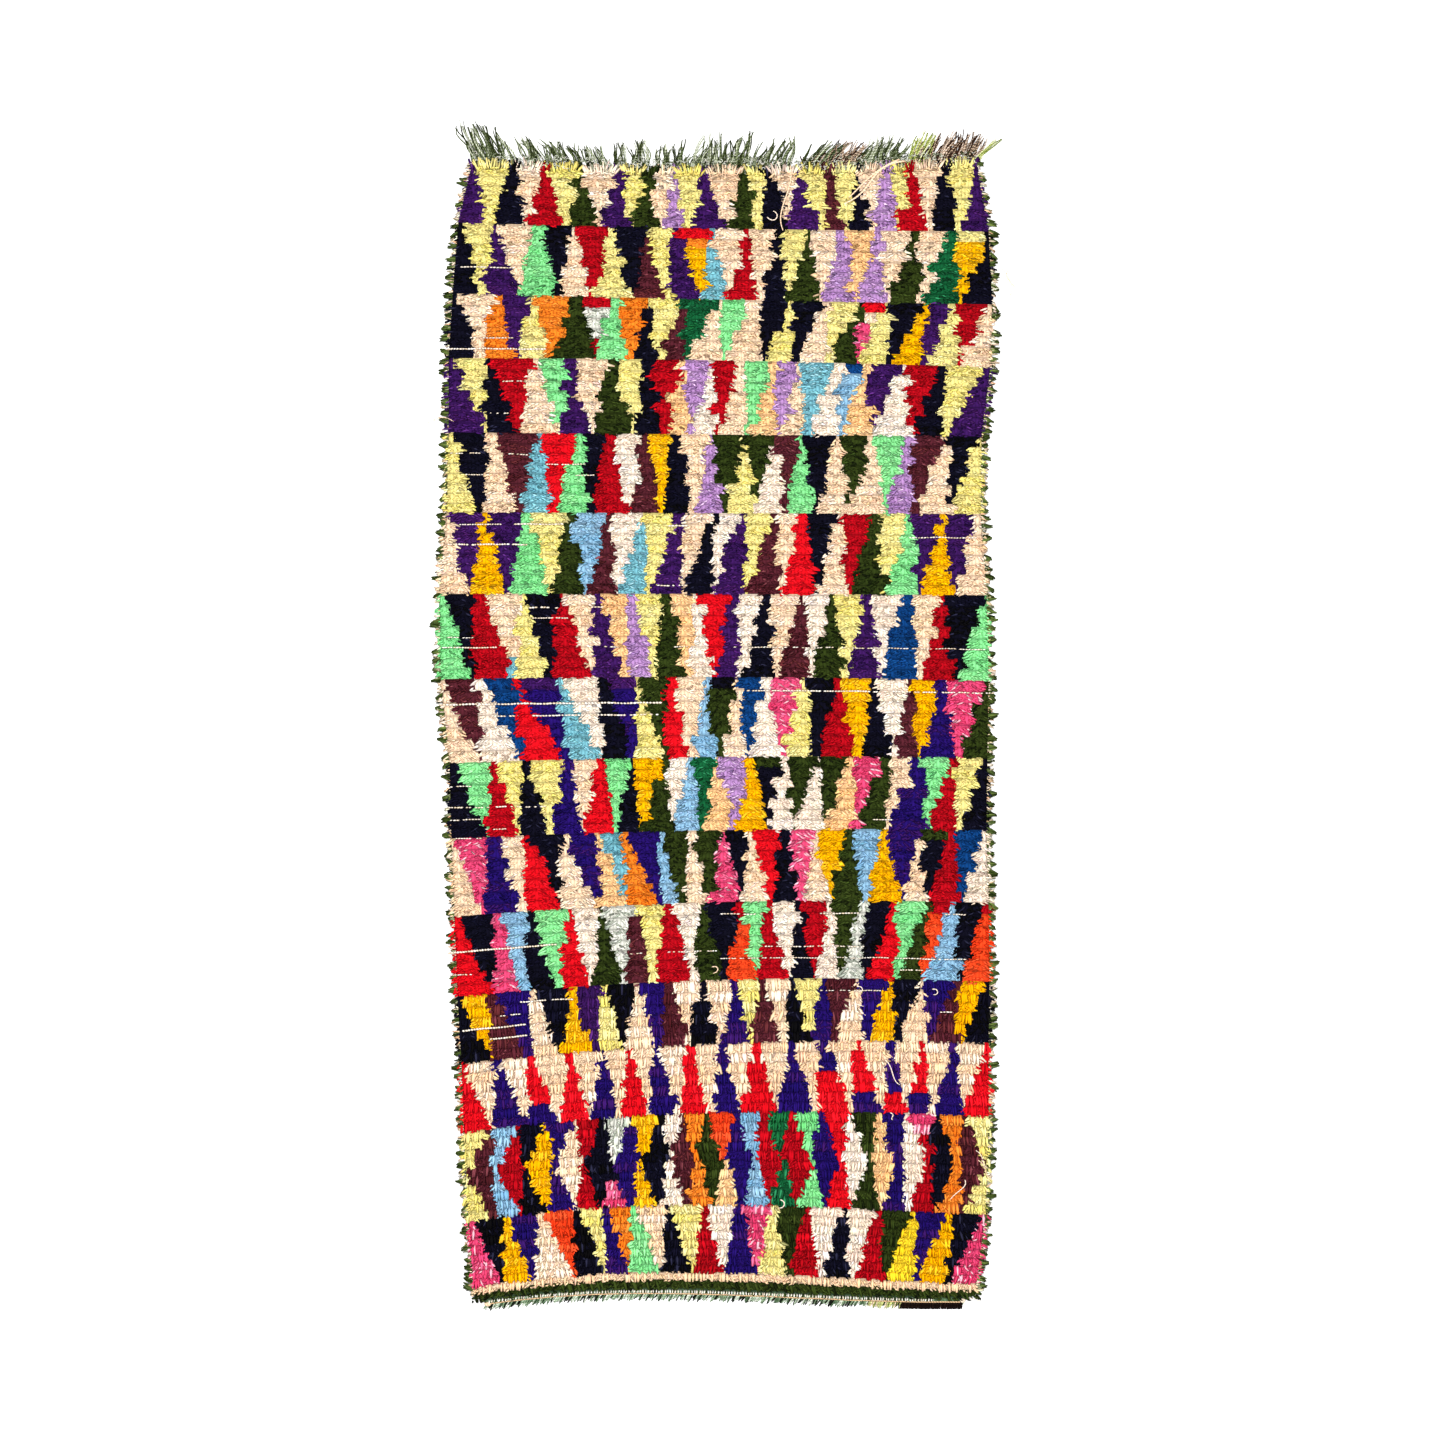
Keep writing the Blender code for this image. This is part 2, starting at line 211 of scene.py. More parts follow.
# Groups of warp ends at the far edge: where each starts and ends, how far it reaches out, how far its tips
# lean to the right, and its marl. The last five are short ones among the others, next to the cloth.
Group = namedtuple("Group", "start end reach lean marl")
FRINGE = (
    Group(-553, -480, 82, -34, "green"), Group(-466, -452, 62, -40, "green"),
    Group(-434, -386, 58, -32, "green"), Group(-378, -306, 50, -24, "green"),
    Group(-294, -250, 46, -18, "green"), Group(-240, -214, 52, 4, "green"),
    Group(-203, -164, 54, 4, "green"), Group(-148, -117, 54, 12, "green"),
    Group(-104, -84, 66, 4, "green"), Group(-66, -44, 66, 26, "green"),
    Group(-30, 6, 74, 14, "green"), Group(14, 60, 76, 20, "green"),
    Group(70, 118, 56, 26, "green"), Group(126, 156, 60, 18, "green"),
    Group(174, 236, 50, 44, "green"), Group(236, 292, 52, 40, "brown"),
    Group(292, 320, 52, 34, "green"), Group(328, 396, 56, 26, "green"),
    Group(418, 464, 68, 28, "lime"), Group(464, 562, 62, 36, "brown"),
    Group(562, 578, 40, 44, "lime"), Group(-553, -480, 40, -12, "green"),
    Group(-100, 110, 30, 8, "green"), Group(170, 300, 30, 30, "brown"), Group(300, 400, 34, 20, "green"),
    Group(420, 570, 44, 30, "brown"),
)
FRINGE_PITCH = 1.9
FRINGE_EXTRA = 20                   # added to each group's reach, because its locks are shortened at random
FRINGE_ROOT = 8                     # how far inside the cloth's edge the strands begin
FRINGE_HALF = (1.1, 1.9)            # half a strand's thickness
FRINGE_LEVEL = (1.9, 6.0)           # height of the strands' tips, and how much higher their roots are
FRINGE_ROOT_RISE = 4.0
FRINGE_SWAY = (3.0, 8.0)
FRINGE_TURNS = (0.6, 1.2)
FRINGE_GLOW = (0.84, 0.15)          # brightness of the strands and its spread
STRANDS_IN_LOCK = 3
MARL_CHANCE = (0.45, 0.33, 0.22)    # how often each of a marl's pairs of yarns is taken
MARLS = {
    "green": (("#1c2010", "#4c5830"), ("#3a4426", "#9aa67e"), ("#7e8a60", "#e6e8d4")),
    "brown": (("#1a0f0b", "#4a3022"), ("#3a2418", "#e2c4a6"), ("#a88468", "#f6e6d4")),
    "lime": (("#6a7a2c", "#a8b45a"), ("#8e9a40", "#dfe394"), ("#c8cf7a", "#f4f4cc")),
}
RIM_YARN = "#e8c8a4"                # of the foundation's edge
TANGLE_YARNS = ("#e4e8d6", "#a9b494", "#57603c", "#f4f0e4", "#262c18", "#c9cfb4")
TANGLE_LOOPS = 760
TANGLE_SPAN = (-556, 578)
TANGLE_DEPTH = 26                   # how far past the cloth's edge the loops lie
TANGLE_SIZE = (2.2, 5.0)            # radius of a loop, its angle in radians, and its height
TANGLE_TURN = (2.2, 5.2)
TANGLE_LEVEL = (5.0, 14.0)
TANGLE_HALF = (0.8, 1.2)

# Yarn ends at the sides: how many rows apart the bunches are, the share of them that is there, the strands in
# each, how far they stick out and start apart, half their thickness, and their yarns
Ends = namedtuple("Ends", "every share strands reach spread thick yarns")
SIDE_ENDS = (
    Ends(1.0, 0.85, 7, (13, 22), 8.0, 3.0, ("#3c4a1e", "#5c6c34", "#27320f", "#46562a")),
    Ends(0.36, 0.9, 4, (5, 16), 5.0, 1.7, ("#f4dcc2", "#d8c4a0", "#8c9070", "#2c3418", "#fae8d4", "#e4b48c")),
)

# Ribs of the heading: where they start and end, their yarns, how far each leans to the right, how much they
# differ in length, and their pitch
Ribs = namedtuple("Ribs", "start end yarns lean uneven pitch")
HEADING_RIBS = (
    Ribs(-524, 337, "green", -9, 0.4, 3.3),
    Ribs(337, 410, "lime", -5, 0.35, 3.3),
    Ribs(404, 545, "brown", -1, 0.05, 1.8),
)
RIB_LENGTH = 17.0
RIB_HALF = (1.5, 2.1)               # half their width
RIB_LEVEL = 2.3                     # height of their ends, and of their arch over that
RIB_RISE = 1.4
RIB_YARNS = {
    "green": ("#1c281a", "#5c7858", "#b4c8ac", "#141a12", "#dfe6d4", "#86a07c"),
    "lime": ("#c9cf86", "#8f9a50", "#efd9b4", "#3a4424"),
    "brown": ("#160d0a", "#20130e", "#100906"),
}

STITCH_YARNS = (("#f4e6d2", "#fbf2e4", "#fdf8f0"), ("#2a3414", "#46562c", "#8ea084"))
STITCH_SPAN = (-520, 480)
STITCH_COUNT = 330
STITCH_LENGTH = (6.0, 8.5)
STITCH_HALF = (1.5, 2.2)
STITCH_LEVEL = 7.0
STITCH_RISE = 2.0
STITCH_TOP = 0.5                    # how far below the pile's foot the stitches begin
RIB_TOP = 9.0                       # the same for the ribs, and for the cord's line

# The cord along the heading: its line's ends and step, and its two plies
CORD_SPAN = (-520, 542)
CORD_STEP = 1.6
CORD_HEIGHT = 6.2
CORD_LAY = 7.0                      # length in which a ply goes once round the other
PLY_OFFSET = 0.8
PLY_RADIUS = 0.95
PLY_YARNS = ("#ecca9e", "#dcb486")

# The knob at each of its ends: where it starts, its length, the X at which its Y is read, and how far it
# lies below the pile's foot
Knob = namedtuple("Knob", "start length read_at below")
KNOBS = (Knob(-531, 15, -526, 9.0), Knob(541, 12, 546, 6.0))
KNOB_SIDES = 8
KNOB_HEIGHT = 6.0
KNOB_HALF = (5.0, 3.4)
KNOB_YARNS = ("#ecceaa", "#f4e0c8")

# Weft yarns that show between rows, in millimetres: start and end, Y at both, and half the thickness
Weft = namedtuple("Weft", "start end start_y end_y thick")
WEFTS = (
    Weft(-585, -461, 1012, 1012, 1.2), Weft(-563, -470, 866, 866, 1.2), Weft(-619, -394, 839, 839, 1.6),
    Weft(-490, -394, 765, 765, 1.2), Weft(-520, -476, 693, 693, 1.2), Weft(-621, -540, 607, 606, 1.1),
    Weft(-477, -436, 604, 600, 1.1), Weft(-392, -306, 578, 582, 1.2), Weft(-574, -522, 551, 551, 1.0),
    Weft(-326, -286, 551, 551, 1.0), Weft(-587, -495, 441, 441, 1.3), Weft(-464, -358, 444, 444, 1.7),
    Weft(-614, -437, 398, 398, 1.6), Weft(-117, -76, 433, 433, 1.6), Weft(-142, -76, 306, 306, 1.3),
    Weft(-437, -371, 248, 246, 1.5), Weft(-299, -268, 250, 250, 1.5), Weft(-423, -344, 224, 224, 1.2),
    Weft(-614, -554, 191, 191, 1.0), Weft(-626, -502, 171, 171, 1.3), Weft(-261, -234, 171, 171, 1.2),
    Weft(-104, -63, 171, 171, 1.2), Weft(30, 610, 169, 166, 1.1), Weft(60, 612, 68, 66, 1.4),
    Weft(-639, -135, 39, 37, 1.9), Weft(-515, -461, 11, 9, 1.3), Weft(-423, -144, 10, 8, 1.6),
    Weft(425, 574, 403, 402, 1.2), Weft(-608, -563, -151, -152, 1.2), Weft(-619, -394, -194, -202, 1.4),
    Weft(-608, -540, -230, -230, 1.1), Weft(-529, -484, -250, -250, 1.1), Weft(-596, -540, -259, -259, 1.1),
    Weft(344, 389, -218, -218, 1.1), Weft(-612, -371, -522, -502, 1.9), Weft(-203, -169, -533, -533, 1.1),
    Weft(-124, 0, -529, -529, 1.2), Weft(-608, -563, -571, -572, 1.1), Weft(-450, -326, -623, -623, 1.5),
    Weft(-580, -439, -698, -682, 1.9), Weft(-518, -439, -716, -707, 1.9), Weft(-495, -450, -661, -661, 1.2),
    Weft(0, 90, -430, -430, 1.2), Weft(225, 315, -430, -430, 1.2), Weft(506, 551, -432, -432, 1.2),
    Weft(101, 326, -502, -502, 1.2), Weft(0, 405, -529, -529, 1.0), Weft(405, 551, -533, -533, 1.2),
    Weft(405, 461, -560, -560, 1.2), Weft(225, 360, -605, -605, 1.0), Weft(495, 518, -653, -653, 1.2),
)
WEFT_YARNS = ("#f6e8d6", "#efe0cc", "#e4cfb2", "#fbf3e8")
WEFT_STRIP = PATTERN[7]             # its edges stand for the rug's where a weft's share of the width is read
WEFT_BEAT = (5.5, 7.5)              # length of one stitch of a weft, with its gap
WEFT_LEVEL = 12.2
WEFT_RISE = 1.6                     # height of each stitch's arch
BOLD_WEFT = 1.5                     # a thicker weft than this shows nearly all its stitches
WEFT_SHOWN = (0.85, 0.97)           # share of the stitches that show, of thin wefts and of bold ones
WEFT_GROOVE = 0.22                  # in rows: where the groove shows under the tips, past the row's line
WEFT_PULL = 0.7                     # how far a weft is drawn from its straight line into the groove

# Loose yarns on the pile, each a curve drawn by the points that pull it, in millimetres
Loose = namedtuple("Loose", "yarn thick points")
LOOSE = (
    Loose("c", 1.5, ((158, 1248), (170, 1190), (120, 1150), (142, 1102))),
    Loose("c", 2.2, ((416, 1258), (330, 1250), (352, 1190), (281, 1163))),
    Loose("c", 1.8, ((404, 1262), (340, 1236), (318, 1200), (290, 1176))),
    Loose("w", 1.2, ((106, 1132), (124, 1112), (140, 1140), (118, 1146))),
    Loose("w", 1.1, ((630, 1020), (660, 990), (668, 960), (636, 946))),
    Loose("c", 1.1, ((648, 1012), (630, 985), (690, 975), (650, 956))),
    Loose("w", 1.0, ((-664, 684), (-640, 700), (-650, 660), (-622, 652))),
    Loose("c", 1.0, ((-662, 668), (-634, 676), (-628, 690), (-600, 672))),
    Loose("w", 1.2, ((371, -765), (392, -778), (384, -812), (405, -821))),
    Loose("w", 1.1, ((383, -884), (398, -888), (380, -896), (389, -900))),
    Loose("w", 1.1, ((551, -1035), (560, -1052), (530, -1060), (518, -1080))),
    Loose("w", 0.9, ((574, -968), (600, -980), (582, -1000), (608, -1012))),
    Loose("c", 0.9, ((580, -990), (606, -1006), (590, -1024), (612, -1036))),
    Loose("w", 1.3, ((136, -1080), (150, -1082), (146, -1100), (132, -1098))),
    Loose("w", 1.1, ((308, -600), (322, -596), (326, -614), (310, -612))),
    Loose("w", 1.1, ((478, -606), (492, -602), (494, -620), (480, -618))),
    Loose("c", 1.2, ((-18, -556), (-2, -550), (0, -568), (-16, -570))),
    Loose("w", 1.1, ((140, -546), (154, -540), (158, -556), (142, -560))),
    Loose("w", 0.7, ((560, -1300), (580, -1306), (596, -1312), (604, -1310))),
)

# Share of a pair of wedges that each takes at its far and near end
WIDENING = (0.14, 0.9)
NARROWING = (0.88, 0.1)
WIDTH_MARKS = {"+": 1.25, "-": 0.78}

# Yarn colours as they look, each with the shades that the dye lots show
YARNS = {
    "p": ("#3a1658", "#2e124a", "#451b5e"),
    "v": ("#240f66", "#371560", "#1c0c5c"),
    "n": ("#0c0b1a", "#080709", "#0e0d20"),
    "y": ("#f2e28c", "#f4e89e", "#ecdb76"),
    "g": ("#f8b400", "#f4ac00", "#fcc020"),
    "k": ("#fad62c", "#fbdc44", "#f2ca20"),
    "c": ("#f9d8b6", "#fbe2cb", "#f5cea6"),
    "w": ("#fae6d2", "#f8dfc8", "#f9ece0"),
    "r": ("#b40818", "#c20a1a", "#a40814"),
    "s": ("#e20e1c", "#ea1624", "#d40c1a"),
    "m": ("#86e090", "#96e69a", "#76d482"),
    "o": ("#2e3a13", "#374519", "#25310f"),
    "e": ("#125c34", "#165030", "#1a6a3a"),
    "b": ("#54202a", "#48191f", "#60282c"),
    "l": ("#b488c0", "#c098ca", "#a47ab2"),
    "t": ("#74b4c2", "#82c0cc", "#66a6b6"),
    "i": ("#8cb8d6", "#9cc4de", "#7aaccc"),
    "a": ("#0c3e7a", "#0a346a", "#124888"),
    "q": ("#f48424", "#f48e34", "#ee7618"),
    "f": ("#fcc88e", "#fcd09c", "#f8c080"),
    "h": ("#e64876", "#ee6a92", "#d83a68"),
    "d": ("#f2481e", "#f4582c", "#e83c16"),
    "x": ("#dcdcd0", "#e6e6dc", "#ccd0c2"),
}

# Yarns with a second colour in them, and n with a painted highlight: that colour, and the share of strands
# that show it
MARLED = {
    "h": ("#f8b8c6", 0.2), "l": ("#d4b4d8", 0.15), "x": ("#a8b0a0", 0.3), "t": ("#9accd6", 0.15),
    "o": ("#151c08", 0.25), "b": ("#7a3c44", 0.12), "e": ("#2c8656", 0.2), "p": ("#5c2c7c", 0.12),
    # painted highlight: the blue-grey second colour of n stands for the sheen on near-black yarn
    "n": ("#26263c", 0.1),
}
DYE_SPREAD = (0.05, 0.03)           # how much strands differ in brightness, and in each colour


def linear(code):
    """Linear colour from a six-digit code of the colour as it looks."""
    values = np.array([int(code[i:i + 2], 16) for i in (1, 3, 5)]) / 255
    return np.where(values <= 0.04045, values / 12.92, ((values + 0.055) / 1.055) ** 2.4)


def to_frame(x, y, z):
    """Points in metres in the rug's frame, from millimetres in the drawing's."""
    return np.stack(np.broadcast_arrays(x + DRAWN_TO_FRAME[0], y + DRAWN_TO_FRAME[1], z), axis=-1) * MM


# Lines of the cloth, from the far edge through the pile to the heading's end, and the row count at each
LINES = (FAR_EDGE, *PATTERN, HEADING_START, HEADING_END)
ROW_AT_LINE = np.cumsum([line.rows for line in LINES]).astype(float)
PILE_ROWS = int(ROW_AT_LINE[-1])
STRIP_ENDS = np.cumsum([strip.rows for strip in PATTERN])
ROW_AT_LINE[-2:] += (0.2, 1.2)


def cloth_line(row):
    """Left edge, right edge and left, middle and right Y at a row count, straight between the lines."""
    return [np.interp(row, ROW_AT_LINE, [line[field] for line in LINES]) for field in range(1, 6)]


def cloth_point(row, share):
    """X and Y at a row count and a share of the width.

    Y is the parabola through the line's three Y. Near the heading it is SKEW * share * (1 - share)
    * (0.5 - share) more, which moves the arch's top to the left.
    """
    left, right, left_y, middle_y, right_y = cloth_line(row)
    x = left + (right - left) * share
    y = (left_y * (1 - share) * (1 - 2 * share) + middle_y * 4 * share * (1 - share)
         + right_y * share * (2 * share - 1))
    skew = SKEW * np.interp(row, ROW_AT_LINE[[SKEW_FROM, -2]], (0.0, 1.0))
    return x, y + skew * share * (1 - share) * (0.5 - share)


def row_height(row):
    """Distance from one row of knots to the next near a row count, in the middle of the rug."""
    return cloth_line(row)[3] - cloth_line(row + 1)[3]


def wave(position, rng, length, count=4):
    """A smooth uneven line between -1 and 1: the mean of sines with random phases and lengths near one."""
    lengths = length * rng.uniform(0.6, 1.7, count)
    phases = rng.uniform(0, 2 * math.pi, count)
    return np.mean([np.sin(2 * math.pi * position / size + phase)
                    for size, phase in zip(lengths, phases)], axis=0)


def sweep(name, centres, half_width, half_height, sides, tints, second=None):
    """Many closed tubes as one mesh, each swept along its own line of centres.

    A ring stands square to the line at each centre: its points lie at centre + width * cos(angle) * side
    + height * sin(angle) * up, where side is level and up is square to both. The ends are closed.
    centres is tubes x rings x 3 in metres, and the half sizes are tubes x rings in metres.
    The map named Yarn runs once round a tube and in centimetres along it. In the one for baking each tube
    has a cell of a square grid to itself.
    """
    tubes, rings, _ = centres.shape
    tangent = np.gradient(centres, axis=1)
    tangent /= np.linalg.norm(tangent, axis=2, keepdims=True) + 1e-12
    side = np.cross(tangent, [0.0, 0.0, 1.0])
    side /= np.linalg.norm(side, axis=2, keepdims=True) + 1e-9
    up = np.cross(side, tangent)
    angle = 2 * math.pi * np.arange(sides) / sides + math.pi / 2
    across = half_width[:, :, None, None] * np.cos(angle)[:, None] * side[:, :, None, :]
    over = half_height[:, :, None, None] * np.sin(angle)[:, None] * up[:, :, None, :]
    points = (centres[:, :, None, :] + across + over).reshape(-1, 3)

    ring, step = np.meshgrid(np.arange(rings - 1), np.arange(sides), indexing="ij")
    here = ring * sides + step
    beside = ring * sides + (step + 1) % sides
    walls = np.stack([here, beside, beside + sides, here + sides], axis=-1).reshape(-1, 4)
    start = np.arange(tubes)[:, None] * rings * sides
    wall_loops = (start[:, :, None] + walls[None]).reshape(tubes, -1)
    first_cap = start + np.arange(sides)[::-1][None]
    last_cap = start + (rings - 1) * sides + np.arange(sides)[None]
    loops = np.concatenate([wall_loops, first_cap, last_cap], axis=1).ravel()
    totals = np.tile([4] * len(walls) + [sides, sides], tubes)

    mesh = bpy.data.meshes.new(name)
    mesh.vertices.add(len(points))
    mesh.vertices.foreach_set("co", points.ravel())
    mesh.loops.add(len(loops))
    mesh.loops.foreach_set("vertex_index", loops)
    mesh.polygons.add(len(totals))
    mesh.polygons.foreach_set("loop_start", np.concatenate([[0], np.cumsum(totals)[:-1]]))
    mesh.update(calc_edges=True)
    mesh.shade_smooth()

    along = np.concatenate([np.zeros((tubes, 1)), np.cumsum(
        np.linalg.norm(np.diff(centres, axis=1), axis=2), axis=1)], axis=1)
    wall_u = np.stack([step, step + 1, step + 1, step], axis=-1).reshape(-1) / sides
    wall_ring = np.stack([ring, ring, ring + 1, ring + 1], axis=-1).reshape(-1)
    cap_u = np.arange(sides) / sides
    u = np.concatenate([wall_u, cap_u[::-1], cap_u])
    which = np.concatenate([wall_ring, np.zeros(sides, int), np.full(sides, rings - 1)])
    yarn_uv = np.stack([np.broadcast_to(u, (tubes, len(u))), along[:, which] * CM_IN_METRE], axis=-1)
    cells = math.ceil(math.sqrt(tubes))
    number = np.arange(tubes)[:, None]
    inner = 1 - 2 * CELL_MARGIN
    cell_u = (number % cells + CELL_MARGIN + inner * u[None]) / cells
    cell_v = (number // cells + CELL_MARGIN + inner * which[None] / (rings - 1)) / cells
    add_uv(mesh, "Yarn", yarn_uv)
    add_uv(mesh, "OFBake", np.stack([cell_u, cell_v], axis=-1))
    add_tint(mesh, "tint", np.repeat(tints, rings * sides, axis=0))
    if second is not None:
        add_tint(mesh, "tint_two", np.repeat(second, rings * sides, axis=0))
    obj = bpy.data.objects.new(name, mesh)
    bpy.context.scene.collection.objects.link(obj)
    return obj


def add_uv(mesh, name, uv):
    """Add a UV map from an array with one pair for each face corner."""
    layer = mesh.uv_layers.new(name=name)
    layer.data.foreach_set("uv", uv.astype(np.float32).ravel())


def add_tint(mesh, name, colours, domain="POINT"):
    """Add a colour for each point, or for each face."""
    layer = mesh.attributes.new(name, "FLOAT_COLOR", domain)
    values = np.concatenate([colours, np.ones((len(colours), 1))], axis=1)
    layer.data.foreach_set("color", values.astype(np.float32).ravel())


def new_group(name, inputs, outputs):
    """An empty shader node group with named inputs and outputs."""
    group = bpy.data.node_groups.new(name, "ShaderNodeTree")
    for direction, sockets in (("INPUT", inputs), ("OUTPUT", outputs)):
        for socket, kind, value in sockets:
            made = group.interface.new_socket(socket, in_out=direction, socket_type=f"NodeSocket{kind}")
            if value is not None:
                made.default_value = value
    return group, group.nodes.new("NodeGroupInput"), group.nodes.new("NodeGroupOutput")


def calculate(tree, operation, *values, clamp=False):
    """A Math node on sockets or numbers, and its result."""
    node = tree.nodes.new("ShaderNodeMath")
    node.operation = operation
    node.use_clamp = clamp
    for socket, value in zip(node.inputs, values):
        if isinstance(value, (int, float)):
            socket.default_value = value
        else:
            tree.links.new(value, socket)
    return node.outputs[0]


def noise(tree, vector, scale, detail=2.0):
    """Noise from 0 to 1 at a scale of the given vector."""
    node = tree.nodes.new("ShaderNodeTexNoise")
    node.inputs["Scale"].default_value = scale
    node.inputs["Detail"].default_value = detail
    tree.links.new(vector, node.inputs["Vector"])
    return node.outputs["Fac"]


def twisted_yarn_group():
    """Plies wound round each other, with fibres: phase = around * plies + along * turns.

    Ply tells two plies apart, Shade is painted shade in the grooves between them and varies with the fibres,
    and Height is round over each ply.
    """
    group, given, result = new_group(
        "twisted yarn",
        (("Vector", "Vector", None), ("Plies", "Float", 2.0), ("Turns", "Float", 1.0),
         ("Groove", "Float", 0.4), ("Fibre", "Float", 0.3)),
        (("Ply", "Float", None), ("Shade", "Float", None), ("Height", "Float", None)))
    split = group.nodes.new("ShaderNodeSeparateXYZ")
    group.links.new(given.outputs["Vector"], split.inputs[0])
    around = calculate(group, "MULTIPLY", split.outputs[0], given.outputs["Plies"])
    phase = calculate(group, "MULTIPLY_ADD", split.outputs[1], given.outputs["Turns"], around)
    turn = calculate(group, "SINE", calculate(group, "MULTIPLY", phase, 2 * math.pi))
    ply = calculate(group, "MULTIPLY_ADD", turn, 2.5, 0.5, clamp=True)
    half_turn = calculate(group, "MULTIPLY", phase, math.pi)
    crown = calculate(group, "ABSOLUTE", calculate(group, "SINE", half_turn))
    stretch = group.nodes.new("ShaderNodeCombineXYZ")
    group.links.new(calculate(group, "MULTIPLY", phase, 6.0), stretch.inputs[0])
    group.links.new(split.outputs[1], stretch.inputs[1])
    fibres = noise(group, stretch.outputs[0], 3.0)
    groove = calculate(group, "MULTIPLY", calculate(group, "SUBTRACT", 1.0, crown), given.outputs["Groove"])
    uneven = calculate(group, "MULTIPLY", calculate(group, "SUBTRACT", fibres, 0.5), given.outputs["Fibre"])
    shade = calculate(group, "ADD", calculate(group, "SUBTRACT", 1.0, groove), uneven)
    height = calculate(group, "MULTIPLY_ADD", fibres, 0.5, crown)
    for name, value in (("Ply", ply), ("Shade", shade), ("Height", height)):
        group.links.new(value, result.inputs[name])
    return group


def new_material(name, roughness):
    """A material with its Principled BSDF and tree."""
    material = bpy.data.materials.new(name)
    material.use_nodes = True
    tree = material.node_tree
    shader = tree.nodes["Principled BSDF"]
    shader.inputs["Roughness"].default_value = roughness
    shader.inputs["Specular IOR Level"].default_value = 0.04
    return material, tree, shader


def attribute(tree, name):
    """The colour attribute of the piece."""
    node = tree.nodes.new("ShaderNodeAttribute")
    node.attribute_name = name
    return node.outputs["Color"]


def scaled(tree, colour, value):
    """A colour times a value."""
    node = tree.nodes.new("ShaderNodeVectorMath")
    node.operation = "SCALE"
    tree.links.new(colour, node.inputs[0])
    tree.links.new(value, node.inputs["Scale"])
    return node.outputs[0]


def bumped(tree, shader, height, strength, distance):
    """Feed a height into the shader's normal."""
    bump = tree.nodes.new("ShaderNodeBump")
    bump.inputs["Strength"].default_value = strength
    bump.inputs["Distance"].default_value = distance
    tree.links.new(height, bump.inputs["Height"])
    tree.links.new(bump.outputs[0], shader.inputs["Normal"])


def yarn_material(name, group, plies, turns, groove, fibre, two_tone=False):
    """Dyed yarn: its colour comes from the piece, and the twist, the fibres and the painted shade of the
    grooves from the shared group.
    """
    material, tree, shader = new_material(name, 0.9)
    uv = tree.nodes.new("ShaderNodeUVMap")
    uv.uv_map = "Yarn"
    yarn = tree.nodes.new("ShaderNodeGroup")
    yarn.node_tree = group
    tree.links.new(uv.outputs[0], yarn.inputs["Vector"])
    for socket, value in (("Plies", plies), ("Turns", turns), ("Groove", groove), ("Fibre", fibre)):
        yarn.inputs[socket].default_value = value
    colour = attribute(tree, "tint")
    if two_tone:
        mix = tree.nodes.new("ShaderNodeMix")
        mix.data_type = "RGBA"
        tree.links.new(yarn.outputs["Ply"], mix.inputs["Factor"])
        tree.links.new(colour, mix.inputs["A"])
        tree.links.new(attribute(tree, "tint_two"), mix.inputs["B"])
        colour = mix.outputs["Result"]
    # painted shade: the colour is darkened by Shade in the grooves between plies
    tree.links.new(scaled(tree, colour, yarn.outputs["Shade"]), shader.inputs["Base Color"])
    bumped(tree, shader, yarn.outputs["Height"], 0.6, 0.0008)
    return material


Wedges = namedtuple("Wedges", "strip letters limits")


def row_wedges(row):
    """The strip of a row of knots, its wedges' letters and their limits, from 0 at the left to 1.

    Each wedge's width runs straight from its far to its near share, and the limits are their running sum,
    each moved sideways a little for this row.
    """
    number = int(np.searchsorted(STRIP_ENDS, row, side="right"))
    strip = PATTERN[number]
    row_in_strip = row - (STRIP_ENDS[number] - strip.rows)
    share = (row_in_strip + 0.5) / strip.rows
    marks = strip.chart.split()
    widths = []
    for mark in marks:
        far, near = WIDENING if mark[0].islower() else NARROWING
        widths.append((far + (near - far) * share) * WIDTH_MARKS.get(mark[1:], 1.0))
    limits = np.concatenate([[0.0], np.cumsum(widths) / np.sum(widths)])
    rng = np.random.default_rng((SEED, row))
    limits[1:-1] += rng.normal(0, strip.jag, len(marks) - 1) / (strip.right - strip.left)
    letters = [mark[0].lower() for mark in marks]
    for patch in PATCHES:
        if patch.strip == number + 1 and patch.first <= row_in_strip + 1 <= patch.last:
            letters[patch.wedge - 1] = patch.yarn
    return Wedges(strip, letters, np.sort(limits))


def row_tints(letters, wedge, rng):
    """A colour for each strand of a row: its wedge's yarn in one shade for the row, with a little spread."""
    shades = np.array([linear(YARNS[letter][rng.integers(3)]) for letter in letters])
    brighter, tinged = DYE_SPREAD
    spread = 1 + rng.normal(0, brighter, (len(wedge), 1)) + rng.normal(0, tinged, (len(wedge), 3))
    tints = np.clip(shades[wedge] * spread, 0.0, 1.0)
    for letter, (code, share) in MARLED.items():
        chosen = (np.array(letters)[wedge] == letter) & (rng.random(len(wedge)) < share)
        tints[chosen] = linear(code)
    return tints


# The strands of one row: its strip, its wedges' letters and their limits in millimetres, which way strands
# cross each limit, and what plan_row() says of each strand
RowPlan = namedtuple("RowPlan", "strip letters limits crossing across wedge place outward border toward "
                                "brush over knot order laid")


